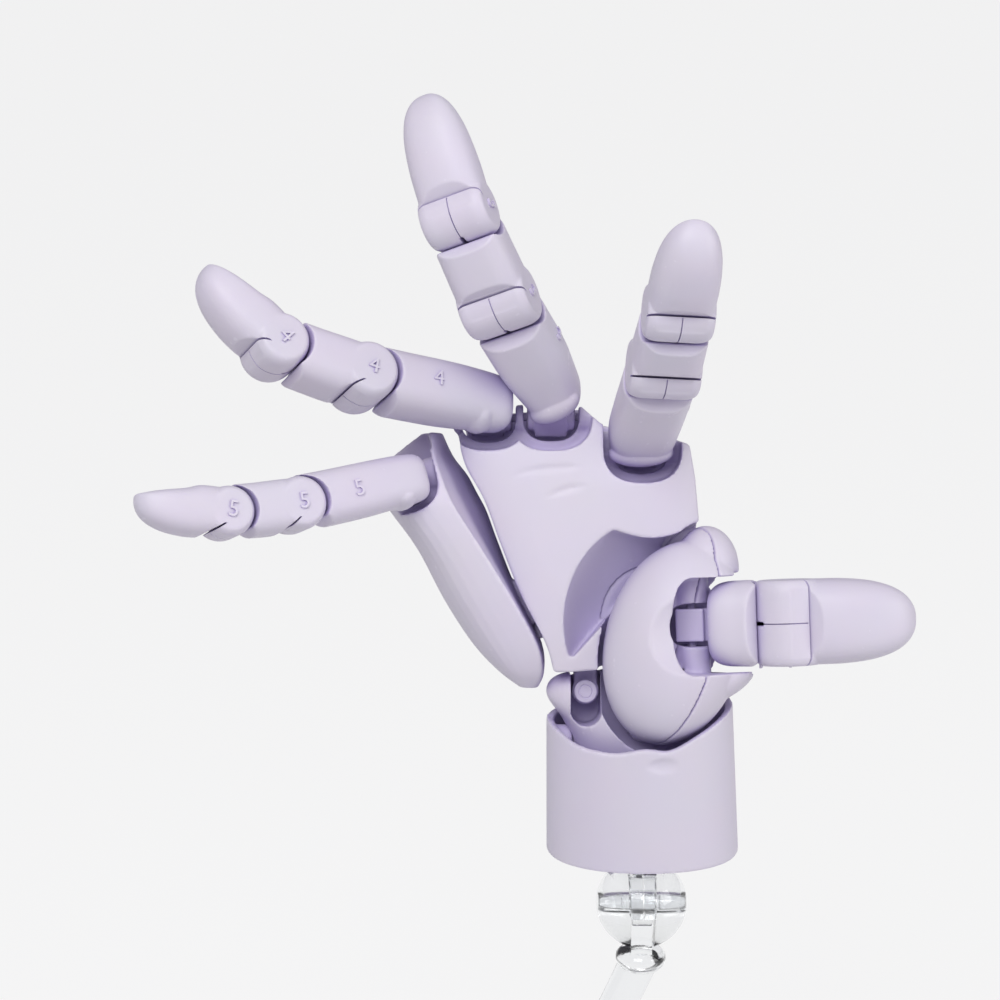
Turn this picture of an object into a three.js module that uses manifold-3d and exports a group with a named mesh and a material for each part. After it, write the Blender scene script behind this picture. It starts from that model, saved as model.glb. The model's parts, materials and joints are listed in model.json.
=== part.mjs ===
// A posable right hand on a clear stand. Millimetres, +Z up.
// The origin is the centre of the stand's underside. The palm faces -Y and the thumb points to +X.

import * as THREE from 'three';
import { mergeVertices } from 'three/addons/utils/BufferGeometryUtils.js';
import Module from 'manifold-3d';

const wasm = await Module();
wasm.setup();

// Stand
const baseDiameter = 118;
const baseThickness = 7;
const postDiameter = 16;
const armHingeHeight = 23;
const armLength = 85;
const armDiameter = 9;
const armLean = 20;
const headDiameter = 21.8;
const hingePlateThickness = 5;
const hingePinDiameter = 3.4;
const pegDiameter = 6;
const pegLength = 9;

// Forearm cuff
const cuffTopWidth = 43.4;
const cuffBottomWidth = 45.4;
const cuffDepth = 34;
const cuffWall = 1.8;
const cuffBottomDrop = 38.4;
const cuffFrontRimDrop = 10;
const cuffRimRadius = 46;
const endCapThickness = 3;
const cuffGapAboveHead = 3;
const cuffOffset = 13.8;
const rimLowOffset = 12.4;

// Wrist
const wristLeanBack = 14;
const wristAxleDrop = 11.5;
const wristAxleDiameter = 3.4;
const wristPinDiameter = 5.4;
const blockWidth = 37;
const blockRadius = 10.6;
const blockTop = 4;
const wristSlotWidth = 7;

// Palm
const palmFront = 12.6;
const palmBack = 11.6;
const partingGap = 0.3;
const cupHalfWidth = 6.5;
const fingerCupBack = 7.2;

// Thumb base
const thenarCentre = new THREE.Vector3(20.5, -8.5, 11.5);
const thenarHalfWidth = 16.2;
const thenarHalfDepth = 13.8;
const thenarHalfHeight = 24;
const thenarTilt = 14;
const thenarPartingTurn = 36;
const hollowMargin = 1.2;
const saddleBarrelDiameter = 8;
const saddleBarrelHalf = 3.4;
const saddlePegDiameter = 5;
const saddleDrop = 9;
const thumbCupHalfWidth = 5;
const thumbCupReach = 5.2;
const thumbCupBack = 8.8;
const shoulderCentre = new THREE.Vector3(28, -6, 28.6);
const shoulderHalf = new THREE.Vector3(7.6, 8.4, 10);
const lipCentre = new THREE.Vector3(29.4, -8.5, 2.9);
const lipHalf = new THREE.Vector3(10, 8, 5.4);

// Joints of the fingers
const clearance = 0.3;
const kneePinDiameter = 2;
const tongueThickness = 3.6;
const tongueRadius = 3.9;
const splayTongueThickness = 4.2;
const splayTongueRadius = 4.4;
const knuckleBarrelRadius = 3.3;
const lugRadius = 4.2;
const cupSideGap = 1.1;
const cupFrontGap = 1;
const barrelReach = 5.8;
const barrelEdge = 1.5;

// Each finger: where its knuckle pin lies in the palm, how the photographed pose sets its joints
// (flex, splay, bend, tip, in degrees), and its real lengths, widths and thicknesses.
const indexFinger = {
  name: 'index',
  knuckle: new THREE.Vector3(13, 0.8, 56.6),
  lean: 0,
  flex: 64, splay: 6.2, bend: -8, tip: -11,
  knuckleToPin: 9, proximalLength: 30.5, middleLength: 20, distalLength: 25.4,
  width: 16, thickness: 14, rootShare: 0.97,
};
const middleFinger = {
  name: 'middle',
  knuckle: new THREE.Vector3(-8, 0.6, 64.2),
  lean: 0,
  flex: 45, splay: -25, bend: -20, tip: -30,
  knuckleToPin: 9, proximalLength: 29, middleLength: 22.2, distalLength: 29,
  width: 16.6, thickness: 14.4, rootShare: 0.8,
};
const ringFinger = {
  name: 'ring',
  knuckle: new THREE.Vector3(-22.8, 0.8, 64),
  lean: 0,
  flex: 69, splay: -64, bend: -9, tip: -34,
  knuckleToPin: 9, proximalLength: 32, middleLength: 21.4, distalLength: 24,
  width: 15.6, thickness: 13.8, rootShare: 0.76,
};
const littleFinger = {
  name: 'little',
  knuckle: new THREE.Vector3(-42.4, -4.2, 48.6),
  lean: -15,
  flex: 87, splay: -63, bend: -6, tip: -16,
  knuckleToPin: 9, proximalLength: 27.5, middleLength: 16.8, distalLength: 21,
  width: 13.6, thickness: 12.4, rootShare: 0.94,
};
const thumb = {
  name: 'thumb',
  knuckle: new THREE.Vector3(24.5, -7.4, 15.7),
  lean: 88,
  flex: 12, splay: 0, bend: -10,
  knuckleToPin: 9.1, proximalLength: 13.4, distalLength: 29.6,
  width: 20, thickness: 16.4, rootShare: 0.97,
};

const plastic = new THREE.Color(0xd6cfe0);
const clearPlastic = new THREE.Color(0xdfe3e6);
const handMaterial = () => new THREE.MeshStandardMaterial({ color: plastic, roughness: 0.55, metalness: 0 });
const standMaterial = () => new THREE.MeshStandardMaterial({
  color: clearPlastic, roughness: 0.12, metalness: 0, transparent: true, opacity: 0.4,
});

// Helpers for placing and joining solids

const rad = THREE.MathUtils.degToRad;
const xAxis = new THREE.Vector3(1, 0, 0);
const yAxis = new THREE.Vector3(0, 1, 0);
const zAxis = new THREE.Vector3(0, 0, 1);

function at(x, y, z) {
  return new THREE.Matrix4().makeTranslation(x, y, z);
}

function turned(axis, degrees) {
  return new THREE.Matrix4().makeRotationAxis(axis, rad(degrees));
}

function solid(geometry, place = new THREE.Matrix4()) {
  const plain = geometry.clone();
  plain.applyMatrix4(place);
  plain.deleteAttribute('normal');
  plain.deleteAttribute('uv');
  const merged = mergeVertices(plain, 1e-5);
  const corners = merged.index.array;
  const kept = [];
  for (let i = 0; i < corners.length; i += 3) {
    const [a, b, c] = [corners[i], corners[i + 1], corners[i + 2]];
    if (a !== b && b !== c && c !== a) kept.push(a, b, c);
  }
  return new wasm.Manifold(new wasm.Mesh({
    numProp: 3,
    vertProperties: new Float32Array(merged.attributes.position.array),
    triVerts: new Uint32Array(kept),
  }));
}

function joined(first, ...others) {
  return others.reduce((sum, next) => sum.add(next), first);
}

function cutBy(body, ...cutters) {
  return cutters.reduce((left, cutter) => left.subtract(cutter), body);
}

function moved(body, place) {
  return body.transform(place.elements);
}

function mesh(name, body, material) {
  const data = body.getMesh();
  const geometry = new THREE.BufferGeometry();
  geometry.setAttribute('position', new THREE.BufferAttribute(new Float32Array(data.vertProperties), 3));
  geometry.setIndex(new THREE.BufferAttribute(new Uint32Array(data.triVerts), 1));
  geometry.computeVertexNormals();
  const piece = new THREE.Mesh(geometry, material);
  piece.name = name;
  return piece;
}

// A closed loft through rings of points that all have the same count.
function loft(rings) {
  const count = rings[0].length;
  const points = [];
  const faces = [];
  const addPoint = (p) => points.push(p.x, p.y, p.z) / 3 - 1;
  const starts = rings.map((ring) => {
    const start = points.length / 3;
    ring.forEach(addPoint);
    return start;
  });
  for (let r = 0; r + 1 < rings.length; r += 1) {
    for (let i = 0; i < count; i += 1) {
      const j = (i + 1) % count;
      faces.push(starts[r] + i, starts[r] + j, starts[r + 1] + j);
      faces.push(starts[r] + i, starts[r + 1] + j, starts[r + 1] + i);
    }
  }
  const cap = (ring, start, forward) => {
    const centre = ring.reduce((sum, p) => sum.add(p), new THREE.Vector3()).divideScalar(count);
    const middle = points.length / 3;
    addPoint(centre);
    for (let i = 0; i < count; i += 1) {
      const j = (i + 1) % count;
      faces.push(middle, start + (forward ? i : j), start + (forward ? j : i));
    }
  };
  cap(rings[0], starts[0], false);
  cap(rings[rings.length - 1], starts[rings.length - 1], true);
  const geometry = new THREE.BufferGeometry();
  geometry.setAttribute('position', new THREE.BufferAttribute(new Float32Array(points), 3));
  geometry.setIndex(faces);
  return solid(geometry);
}

// One ring of a loft: a rounded section at a height, with its own front (-Y) and back (+Y) reach.
function ring({ z, half, front, back, x = 0, y = 0, square = 2.4, points = 12 }) {
  const power = 2 / square;
  const part = (value) => Math.sign(value) * Math.abs(value) ** power;
  return Array.from({ length: points }, (unused, i) => {
    const turn = (i + 0.5) / points * 2 * Math.PI;
    const reach = Math.sin(turn) > 0 ? back : front;
    return new THREE.Vector3(x + half * part(Math.cos(turn)), y + reach * part(Math.sin(turn)), z);
  });
}

function box(x0, x1, y0, y1, z0, z1) {
  const geometry = new THREE.BoxGeometry(x1 - x0, y1 - y0, z1 - z0);
  return solid(geometry, at((x0 + x1) / 2, (y0 + y1) / 2, (z0 + z1) / 2));
}

const towards = { x: turned(zAxis, -90), y: new THREE.Matrix4(), z: turned(xAxis, 90) };

// A round bar centred on the origin, lying along one axis.
function bar(axis, radius, halfLength, sides = 12) {
  return solid(new THREE.CylinderGeometry(radius, radius, 2 * halfLength, sides), towards[axis]);
}

// A turned body along Z from pairs of radius and height, closed on its axis.
function turnedBody(profile, sides = 32) {
  const outline = profile.map(([radius, height]) => new THREE.Vector2(radius, height));
  return solid(new THREE.LatheGeometry(outline, sides), towards.z);
}

// A barrel along X with eased ends.
function barrel(radius, half, edge = barrelEdge, sides = 14) {
  const profile = [[0, -half], [radius - edge, -half], [radius, edge - half],
    [radius, half - edge], [radius - edge, half], [0, half]];
  const outline = profile.map(([r, h]) => new THREE.Vector2(r, h));
  return solid(new THREE.LatheGeometry(outline, sides), towards.x);
}

// A plate across X in the shape of a slice of a disc. Angles are measured about the X axis
// from straight down (-Z), positive to the back (+Y).
function slice(radius, fromDegrees, toDegrees, halfThickness) {
  const shape = new THREE.Shape();
  const steps = Math.ceil(Math.abs(toDegrees - fromDegrees) / 30);
  shape.moveTo(0, 0);
  for (let i = 0; i <= steps; i += 1) {
    const angle = rad(fromDegrees + (toDegrees - fromDegrees) * i / steps);
    shape.lineTo(radius * Math.sin(angle), -radius * Math.cos(angle));
  }
  shape.closePath();
  const geometry = new THREE.ExtrudeGeometry(shape, { depth: 2 * halfThickness, bevelEnabled: false });
  const frame = new THREE.Matrix4().makeBasis(yAxis, zAxis, xAxis);
  return solid(geometry, frame.multiply(at(0, 0, -halfThickness)));
}

// An outline in the XZ plane, given as points, pushed through from one depth to another.
function plate(outline, fromY, toY) {
  const shape = new THREE.Shape(outline.map(([x, z]) => new THREE.Vector2(x, z)));
  const geometry = new THREE.ExtrudeGeometry(shape, { depth: toY - fromY, bevelEnabled: false });
  const frame = new THREE.Matrix4().makeBasis(xAxis, zAxis, yAxis.clone().negate());
  return solid(geometry, at(0, toY, 0).multiply(frame));
}

function oval(halfX, halfY, halfZ, place, around = 20, along = 14) {
  const shape = new THREE.SphereGeometry(1, around, along);
  return solid(shape, place.clone().multiply(new THREE.Matrix4().makeScale(halfX, halfY, halfZ)));
}

// Fingers

// The swing of a finger joint from straight: how far it goes back and how far it curls.
const backStop = 4;
const curlLimit = 88;
const tipCurlLimit = 74;
const neckFrom = 38;
const neckTo = 60;

// The hollow in a barrel that takes the tongue of the piece before it, and the tongue's pin hole.
function tongueSlot(radius, backAngle, half, curl) {
  const hollow = bar('x', tongueRadius + clearance, tongueThickness / 2 + clearance);
  const path = slice(radius + 3, neckFrom - curl - 4, neckTo - backAngle + 5,
    tongueThickness / 2 + clearance);
  return joined(hollow, path, bar('x', kneePinDiameter / 2 + 0.2, half - barrelEdge, 8));
}

// The end of a piece that carries the next one: a saddle round the next barrel, eased on the palm
// side so that the next piece can curl, with the tongue that stands in it.
function saddleEnd(body, length, radius, half, backAngle, thickness) {
  const rimAngle = Math.min(62, 86 + backAngle);
  const rim = length - radius * Math.cos(rad(rimAngle));
  const saddle = moved(barrel(radius + clearance, half + clearance + 1.2), at(0, 0, length));
  const beyond = box(-2 * half, 2 * half, -2 * thickness, 2 * thickness, rim, length + 3 * radius);
  const scoopSlope = 27;
  const scoop = moved(box(-2 * half, 2 * half, -3 * thickness, 0, 0, 4 * radius),
    at(0, -0.2 * radius, length - radius).multiply(turned(xAxis, scoopSlope)));
  const disc = bar('x', tongueRadius, tongueThickness / 2);
  const neck = slice(radius + 2.4, neckFrom, neckTo, tongueThickness / 2);
  const hole = bar('x', kneePinDiameter / 2 + 0.2, tongueThickness, 8);
  const tongue = moved(cutBy(joined(disc, neck), hole), at(0, 0, length));
  return joined(cutBy(body, saddle, beyond, scoop), tongue);
}

// The crease across the palm side, just past a joint.
function crease(radius, half) {
  const groove = solid(new THREE.CylinderGeometry(0.9, 0.9, 4 * half, 4), towards.x);
  return moved(groove, at(0, -radius - 0.2, 0.62 * radius));
}

function phalanx(finger, taper, length, backAngle, next) {
  const half = finger.width * taper / 2;
  const radius = finger.thickness * taper / 2;
  const nextHalf = finger.width * next.taper / 2;
  const nextRadius = finger.thickness * next.taper / 2;
  const shaft = loft([
    ring({ z: 0, half: half - 0.3, front: radius - 0.2, back: radius - 0.2 }),
    ring({ z: length * 0.3, half: half * 0.95, front: radius * 0.97, back: radius * 0.96 }),
    ring({ z: length * 0.65, half: nextHalf * 0.98, front: nextRadius * 1.0, back: nextRadius * 1.02 }),
    ring({ z: length, half: nextHalf + 0.1, front: nextRadius + 0.3, back: nextRadius + 0.6 }),
  ]);
  const blank = joined(barrel(radius, half), shaft);
  const ended = saddleEnd(blank, length, nextRadius, nextHalf, next.back, finger.thickness);
  return cutBy(ended, tongueSlot(radius, backAngle, half, curlLimit), crease(radius, half));
}

function fingertip(finger, taper, length, backAngle, curl) {
  const half = finger.width * taper / 2;
  const radius = finger.thickness * taper / 2;
  const shaft = loft([
    ring({ z: 0, half: half - 0.3, front: radius - 0.2, back: radius - 0.3 }),
    ring({ z: length * 0.3, half: half * 0.98, front: radius * 1.06, back: radius * 0.84 }),
    ring({ z: length * 0.52, half: half * 0.97, front: radius * 1.1, back: radius * 0.7, square: 2.2 }),
    ring({ z: length * 0.74, half: half * 0.84, front: radius * 0.96, back: radius * 0.52, square: 2.2 }),
    ring({ z: length * 0.9, half: half * 0.6, front: radius * 0.66, back: radius * 0.34, square: 2 }),
    ring({ z: length * 0.975, half: half * 0.32, front: radius * 0.34, back: radius * 0.14, square: 2 }),
    ring({ z: length, half: half * 0.1, front: radius * 0.1, back: radius * 0.02, square: 2 }),
  ]);
  const blank = joined(barrel(radius, half), shaft);
  return cutBy(blank, tongueSlot(radius, backAngle, half, curl), crease(radius, half));
}

// The first piece of a finger turns sideways on a pin through its root, which is split by a slot.
// The root keeps its width down to its rounded end, just above the knuckle's barrel.
function rootPiece(finger, length, next) {
  const half = finger.width * 0.5;
  const radius = finger.thickness * 0.5;
  const rootHalf = half * finger.rootShare;
  const drop = finger.knuckleToPin - knuckleBarrelRadius - 0.45;
  const nextHalf = finger.width * next.taper / 2;
  const nextRadius = finger.thickness * next.taper / 2;
  const shaft = loft([
    ring({ z: -drop, half: rootHalf * 0.56, front: radius * 0.66, back: radius * 0.62 }),
    ring({ z: -drop * 0.78, half: rootHalf * 0.84, front: radius * 0.86, back: radius * 0.78 }),
    ring({ z: -drop * 0.4, half: rootHalf * 0.98, front: radius * 0.98, back: radius * 0.9 }),
    ring({ z: length * 0.18, half: (half + rootHalf) / 2, front: radius * 1.06, back: radius * 0.97 }),
    ring({ z: length * 0.72, half: nextHalf * 1.0, front: nextRadius * 1.02, back: nextRadius * 1.03 }),
    ring({ z: length, half: nextHalf + 0.1, front: nextRadius + 0.3, back: nextRadius + 0.6 }),
  ]);
  const slotHalf = splayTongueThickness / 2 + clearance;
  const slot = joined(
    bar('y', splayTongueRadius + clearance, slotHalf, 16),
    box(-finger.width, finger.width, -slotHalf, slotHalf, -finger.width, splayTongueRadius - 1),
  );
  const pinHole = bar('y', kneePinDiameter / 2 + 0.2, finger.thickness, 8);
  const ended = saddleEnd(shaft, length, nextRadius, nextHalf, next.back, finger.thickness);
  return cutBy(ended, slot, pinHole);
}

// The knuckle: a barrel on the knuckle pin, with a flat tongue up to the splay pin.
function knuckleBlock(finger, barrelHalf) {
  const reach = finger.knuckleToPin;
  const plateHalf = splayTongueThickness / 2;
  const neckHalf = splayTongueRadius - 0.8;
  const tongue = joined(
    box(-neckHalf, neckHalf, -plateHalf, plateHalf, 0, reach),
    moved(bar('y', splayTongueRadius, plateHalf), at(0, 0, reach)),
  );
  const pinHole = moved(bar('y', kneePinDiameter / 2 + 0.2, finger.thickness, 8), at(0, 0, reach));
  const axleHole = bar('x', kneePinDiameter / 2 + 0.2, finger.width, 8);
  return cutBy(joined(barrel(knuckleBarrelRadius, barrelHalf, 0.6), tongue), pinHole, axleHole);
}

function hingeGroup(name, parent, position, axis, degrees) {
  const group = new THREE.Group();
  group.name = name;
  group.position.copy(position);
  group.rotateOnAxis(axis, rad(degrees));
  parent.add(group);
  return group;
}

const up = (height) => new THREE.Vector3(0, 0, height);

function addFinger(parent, finger, barrelHalf, pinHalf) {
  const pieces = finger.middleLength ? ['proximal', 'middle', 'distal'] : ['proximal', 'distal'];
  const tapers = finger.middleLength ? [1, 0.985, 0.93] : [1, 0.985];
  const leaning = hingeGroup(`${finger.name}_seat`, parent, finger.knuckle, yAxis, finger.lean);
  const knucklePin = bar('x', kneePinDiameter / 2, pinHalf, 8);
  leaning.add(mesh(`${finger.name}_knuckle_pin`, knucklePin, handMaterial()));
  const flexing = hingeGroup(`${finger.name}_knuckle_body`, leaning, up(0), xAxis, finger.flex);
  flexing.add(mesh(`${finger.name}_knuckle`, knuckleBlock(finger, barrelHalf), handMaterial()));
  const splaying = hingeGroup(`${finger.name}_proximal_body`, flexing, up(finger.knuckleToPin), yAxis,
    finger.splay);
  const splayPin = bar('y', kneePinDiameter / 2, finger.thickness / 2 - 0.4, 8);
  splaying.add(mesh(`${finger.name}_splay_pin`, splayPin, handMaterial()));
  const firstBend = { taper: tapers[1], back: finger.bend - backStop };
  splaying.add(mesh(`${finger.name}_proximal`, rootPiece(finger, finger.proximalLength, firstBend),
    handMaterial()));
  const pinLength = (taper) => finger.width * taper / 2 - barrelEdge - 0.4;
  let carrier = splaying;
  let place = up(finger.proximalLength);
  const bends = finger.middleLength ? [finger.bend, finger.tip] : [finger.bend];
  const lengths = finger.middleLength ? [finger.middleLength, finger.distalLength] : [finger.distalLength];
  bends.forEach((bend, i) => {
    const pinName = finger.middleLength ? ['bend', 'tip'][i] : 'bend';
    const pin = mesh(`${finger.name}_${pinName}_pin`,
      bar('x', kneePinDiameter / 2, pinLength(tapers[i + 1]), 8), handMaterial());
    pin.position.copy(place);
    carrier.add(pin);
    const bending = hingeGroup(`${finger.name}_${pieces[i + 1]}_body`, carrier, place, xAxis, bend);
    const back = bend - backStop;
    const last = i === bends.length - 1;
    const next = last ? null : { taper: tapers[i + 2], back: bends[i + 1] - backStop };
    const body = last
      ? fingertip(finger, tapers[i + 1], lengths[i], back, i ? tipCurlLimit : curlLimit)
      : phalanx(finger, tapers[i + 1], lengths[i], back, next);
    bending.add(mesh(`${finger.name}_${pieces[i + 1]}`, body, handMaterial()));
    carrier = bending;
    place = up(lengths[i]);
  });
}

// A channel through Y, round below and open above.
function channel(half, reach, fromY, toY) {
  const steps = 12;
  const top = 30;
  const power = 0.8;
  const soft = (value) => Math.sign(value) * Math.abs(value) ** power;
  const outline = [[half, top]];
  for (let i = 0; i <= steps; i += 1) {
    const turn = Math.PI * i / steps;
    outline.push([half * soft(Math.cos(turn)), -reach * soft(Math.sin(turn))]);
  }
  outline.push([-half, top]);
  return plate(outline, fromY, toY);
}

// The cup for a finger's root in the piece that carries it: narrow between the lugs that hold the
// knuckle pin, wide and round in front, where the finger curls.
function cupFor(finger, halfWidth, back, pinHalf, frontReach) {
  const wideHalf = finger.width / 2 + cupSideGap;
  const narrow = channel(halfWidth, barrelReach, -30, back);
  const ahead = channel(wideHalf, frontReach, -30, -2.6);
  const overhead = box(-wideHalf - 0.6, wideHalf + 0.6, -4, back, 0, 30);
  const wide = cutBy(joined(ahead, overhead), bar('x', lugRadius, 2 * wideHalf, 20));
  const pinHole = bar('x', kneePinDiameter / 2 + 0.2, pinHalf + 0.2, 8);
  const place = at(...finger.knuckle.toArray()).multiply(turned(yAxis, finger.lean));
  return moved(joined(narrow, wide, pinHole), place);
}

// Palm

const fingerPinHalf = 7;

// The envelope gives the palm its soft edges; outlines cut it to shape.
function palmEnvelope() {
  return loft([
    ring({ z: -2, half: 20, front: 9, back: 8.4, x: 8, square: 3.2, points: 20 }),
    ring({ z: 8, half: 22.5, front: 10.6, back: 9.4, x: 6, square: 3.2, points: 20 }),
    ring({ z: 24, half: 26, front: 11.6, back: 10.4, x: 3, square: 3.2, points: 20 }),
    ring({ z: 40, half: 28.4, front: palmFront, back: palmBack - 0.6, x: 0, square: 3.4, points: 20 }),
    ring({ z: 54, half: 30, front: palmFront, back: palmBack, x: -1.6, square: 3.6, points: 20 }),
    ring({ z: 63, half: 30, front: palmFront - 2.4, back: palmBack - 1.4, x: -2.4, square: 3.2, points: 20 }),
    ring({ z: 69, half: 29, front: palmFront - 6.6, back: palmBack - 5.4, x: -2.6, square: 3, points: 20 }),
  ]);
}

const littleCupHalfWidth = 5.2;
const littleCupBack = 6.4;
const littlePinHalf = 5.8;
const littleSide = [[-7.5, 5], [-9.4, 11.8], [-15.3, 23.5], [-20, 35.3], [-23.6, 45], [-28, 53],
  [-29.8, 60]];
const ringLug = [[-30.9, 61], [-30.9, 66.4]];
const knuckleLine = [[-15, 67], [-1, 66.6], [3.4, 62.6], [20.4, 59], [24.6, 58]];
const thumbSideTop = [[26.8, 50], [26.6, 40]];
const lobeEdge = [[22.3, 37.2], [15.3, 35.9], [8.2, 37], [1.2, 39.6]];
const plateRidge = [[0.4, 33], [-3.5, 23.5], [-5.4, 16.5], [-4.4, 8.2], [-2.6, 5.2]];
const thumbSideLow = [[26.6, 28], [25.4, 14], [24.8, 0.6], [22.4, -1.4], [14.2, -1.4], [9.4, 4.6], [5, 5.8]];

function thenarPlace() {
  return at(...thenarCentre.toArray()).multiply(turned(yAxis, thenarTilt));
}

// The rounded body of the thumb base, with its shoulder over the thumb's root and its lip under it,
// or with a margin all round the room that it needs.
function thenarForm(margin = 0) {
  const round = oval(thenarHalfWidth + margin, thenarHalfDepth + 1.3 * margin, thenarHalfHeight + margin,
    thenarPlace(), 22, 14);
  const swingRoom = 3.6 * margin;
  const shoulder = oval(shoulderHalf.x + swingRoom, shoulderHalf.y + swingRoom, shoulderHalf.z + margin,
    at(...shoulderCentre.toArray()), 16, 10);
  const lip = oval(lipHalf.x + margin, lipHalf.y + margin, lipHalf.z + margin,
    at(...lipCentre.toArray()), 16, 10);
  return joined(round, shoulder, lip);
}

function fingerCups() {
  return [indexFinger, middleFinger, ringFinger].map((finger) => (
    cupFor(finger, cupHalfWidth, fingerCupBack, fingerPinHalf, finger.thickness / 2 + cupFrontGap)));
}

// The fold pin of the little-finger side runs along the palm's edge.
const foldAxis = new THREE.Vector3(-0.36, 0, 0.933).normalize();
const foldPoint = new THREE.Vector3(-13.4, 2.6, 21);
const foldEyeHalf = 5.5;
const foldPinHalf = 9.5;
const foldEyeRadius = 2.7;

function foldPlace() {
  const turn = new THREE.Quaternion().setFromUnitVectors(xAxis, foldAxis);
  return new THREE.Matrix4().compose(foldPoint, turn, new THREE.Vector3(1, 1, 1));
}

function foldGap() {
  return moved(bar('x', foldEyeRadius + clearance, foldEyeHalf + clearance, 20), foldPlace());
}

function foldPinHole() {
  return moved(bar('x', kneePinDiameter / 2 + 0.2, foldPinHalf + 0.2, 12), foldPlace());
}

function palmFrontPiece() {
  const outline = [...littleSide, ...knuckleLine, ...thumbSideTop, ...lobeEdge, ...plateRidge];
  const blank = plate(outline, -20, -partingGap / 2).intersect(palmEnvelope());
  const rooms = [foldGap(), foldPinHole(), thenarForm(hollowMargin), wristTongueRoom()];
  return cutBy(blank, ...fingerCups(), ...rooms);
}

function palmBackPiece() {
  const outline = [...littleSide, ...ringLug, ...knuckleLine, ...thumbSideTop, ...thumbSideLow];
  const blank = plate(outline, partingGap / 2, 20).intersect(palmEnvelope());
  const hollow = cutBy(blank, ...fingerCups(), foldGap(), foldPinHole(), thenarForm(hollowMargin));
  const eyeRadius = wristSlotWidth / 2 - clearance;
  const tongue = joined(
    box(0.5 - eyeRadius, eyeRadius - 0.5, -2.4, 3.4, 0, 9),
    moved(solid(new THREE.CylinderGeometry(eyeRadius, eyeRadius, 5.8, 20), towards.y), at(0, 0.5, 0)),
  );
  const pinHole = bar('y', wristPinDiameter / 2 - 1 + 0.2, 12, 16);
  const swivelHole = moved(bar('y', saddlePegDiameter / 2 + 0.2, 30, 16), at(...saddlePoint().toArray()));
  return cutBy(joined(hollow, tongue), pinHole, swivelHole);
}

function wristTongueRoom() {
  const half = wristSlotWidth / 2;
  return box(-half, half, -2.4 - clearance, 3.4 + clearance, -4, 9 + clearance);
}

// Little-finger side of the palm: a shell that leans forward, with a ridge in front and a
// slanted wall that faces the palm.
function sideRing(z, outer, ridge, inner, front, back) {
  const corners = [
    [outer, (back - front) * 0.1], [outer * 0.7 + ridge * 0.3, -front * 0.82], [ridge - 1.2, -front],
    [ridge + 0.5, -front * 0.86], [inner, back * 0.2], [inner - 0.4, back * 0.75],
    [(inner + outer) / 2, back], [outer + 1.8, back * 0.7],
  ];
  const path = new THREE.CatmullRomCurve3(corners.map(([x, y]) => new THREE.Vector3(x, y, z)), true);
  return path.getPoints(16).slice(0, 16);
}

function littleSidePiece() {
  const shell = loft([
    sideRing(0.6, -15.2, -12, -11, 3, 3.4),
    sideRing(4.5, -20.4, -10.4, -9.6, 7, 6),
    sideRing(11, -26.4, -11.6, -10.4, 10, 7.6),
    sideRing(21.2, -33, -17, -15.2, 12.4, 8.8),
    sideRing(32.9, -39.2, -24, -20.2, 14, 9.6),
    sideRing(41.8, -45.6, -29.6, -23.8, 14.4, 9.8),
    sideRing(46.4, -48.8, -32, -26.2, 13.8, 9.6),
    sideRing(50.6, -50.2, -33.6, -28.4, 12.4, 9),
    sideRing(56, -49.4, -35, -32, 9.6, 7.6),
    sideRing(60.4, -47, -35.6, -33.8, 5.4, 4.6),
  ]);
  const barrelPlace = foldPlace();
  const eye = moved(bar('x', foldEyeRadius, foldEyeHalf, 20), barrelPlace);
  const web = moved(box(-foldEyeHalf, foldEyeHalf, -1.6, 1.6, 0, 5), barrelPlace);
  const blank = joined(cutBy(shell, palmClearance()), eye, web);
  const pinHole = moved(bar('x', kneePinDiameter / 2 + 0.2, 40, 12), barrelPlace);
  const frontReach = littleFinger.thickness / 2 + cupFrontGap;
  const cup = cupFor(littleFinger, littleCupHalfWidth, littleCupBack, littlePinHalf, frontReach);
  return cutBy(blank, pinHole, cup);
}

// The palm's edge, pushed out a little, so that the side piece stays clear of it.
function palmClearance() {
  const gap = 0.7;
  const edge = littleSide.map(([x, z]) => [x - gap, z]);
  return plate([[0, 0], [-7.5 - gap, 0], ...edge, [0, 70]], -30, 30);
}

// Thumb base: two halves round a saddle that swivels on the palm and carries the swing barrel.
const swingBack = 5;
const swingIn = 40;

function thenarHalf(side) {
  const egg = moved(thenarForm(), thenarPlace().invert());
  const far = 60;
  const across = side === 'front' ? box(-far, -partingGap / 2, -far, far, -far, far)
    : box(partingGap / 2, far, -far, far, -far, far);
  const half = egg.intersect(moved(across, turned(zAxis, thenarPartingTurn)));
  const barrelRoom = bar('z', saddleBarrelDiameter / 2 + clearance, saddleBarrelHalf + clearance, 16);
  const pegHalf = saddlePegDiameter / 2 + clearance;
  const pegPaths = [];
  for (let turn = -swingIn - 4; turn <= swingBack + 4; turn += 7) {
    pegPaths.push(moved(box(-pegHalf, pegHalf, 0, far / 2, -pegHalf, pegHalf), turned(zAxis, -turn)));
  }
  const saddleRoom = moved(joined(barrelRoom, ...pegPaths), at(0, 0, -saddleDrop));
  const body = cutBy(half, saddleRoom);
  const cup = cupFor(thumb, thumbCupHalfWidth, thumbCupBack, thumbPinHalf, thumbCupReach);
  const lowCut = box(-far, far, -far, far, -far, -13.6);
  return cutBy(moved(body, thenarPlace()), cup, lowCut);
}

const thumbPinHalf = 7.6;

function saddlePoint() {
  return new THREE.Vector3(0, 0, -saddleDrop).applyMatrix4(thenarPlace());
}

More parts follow.
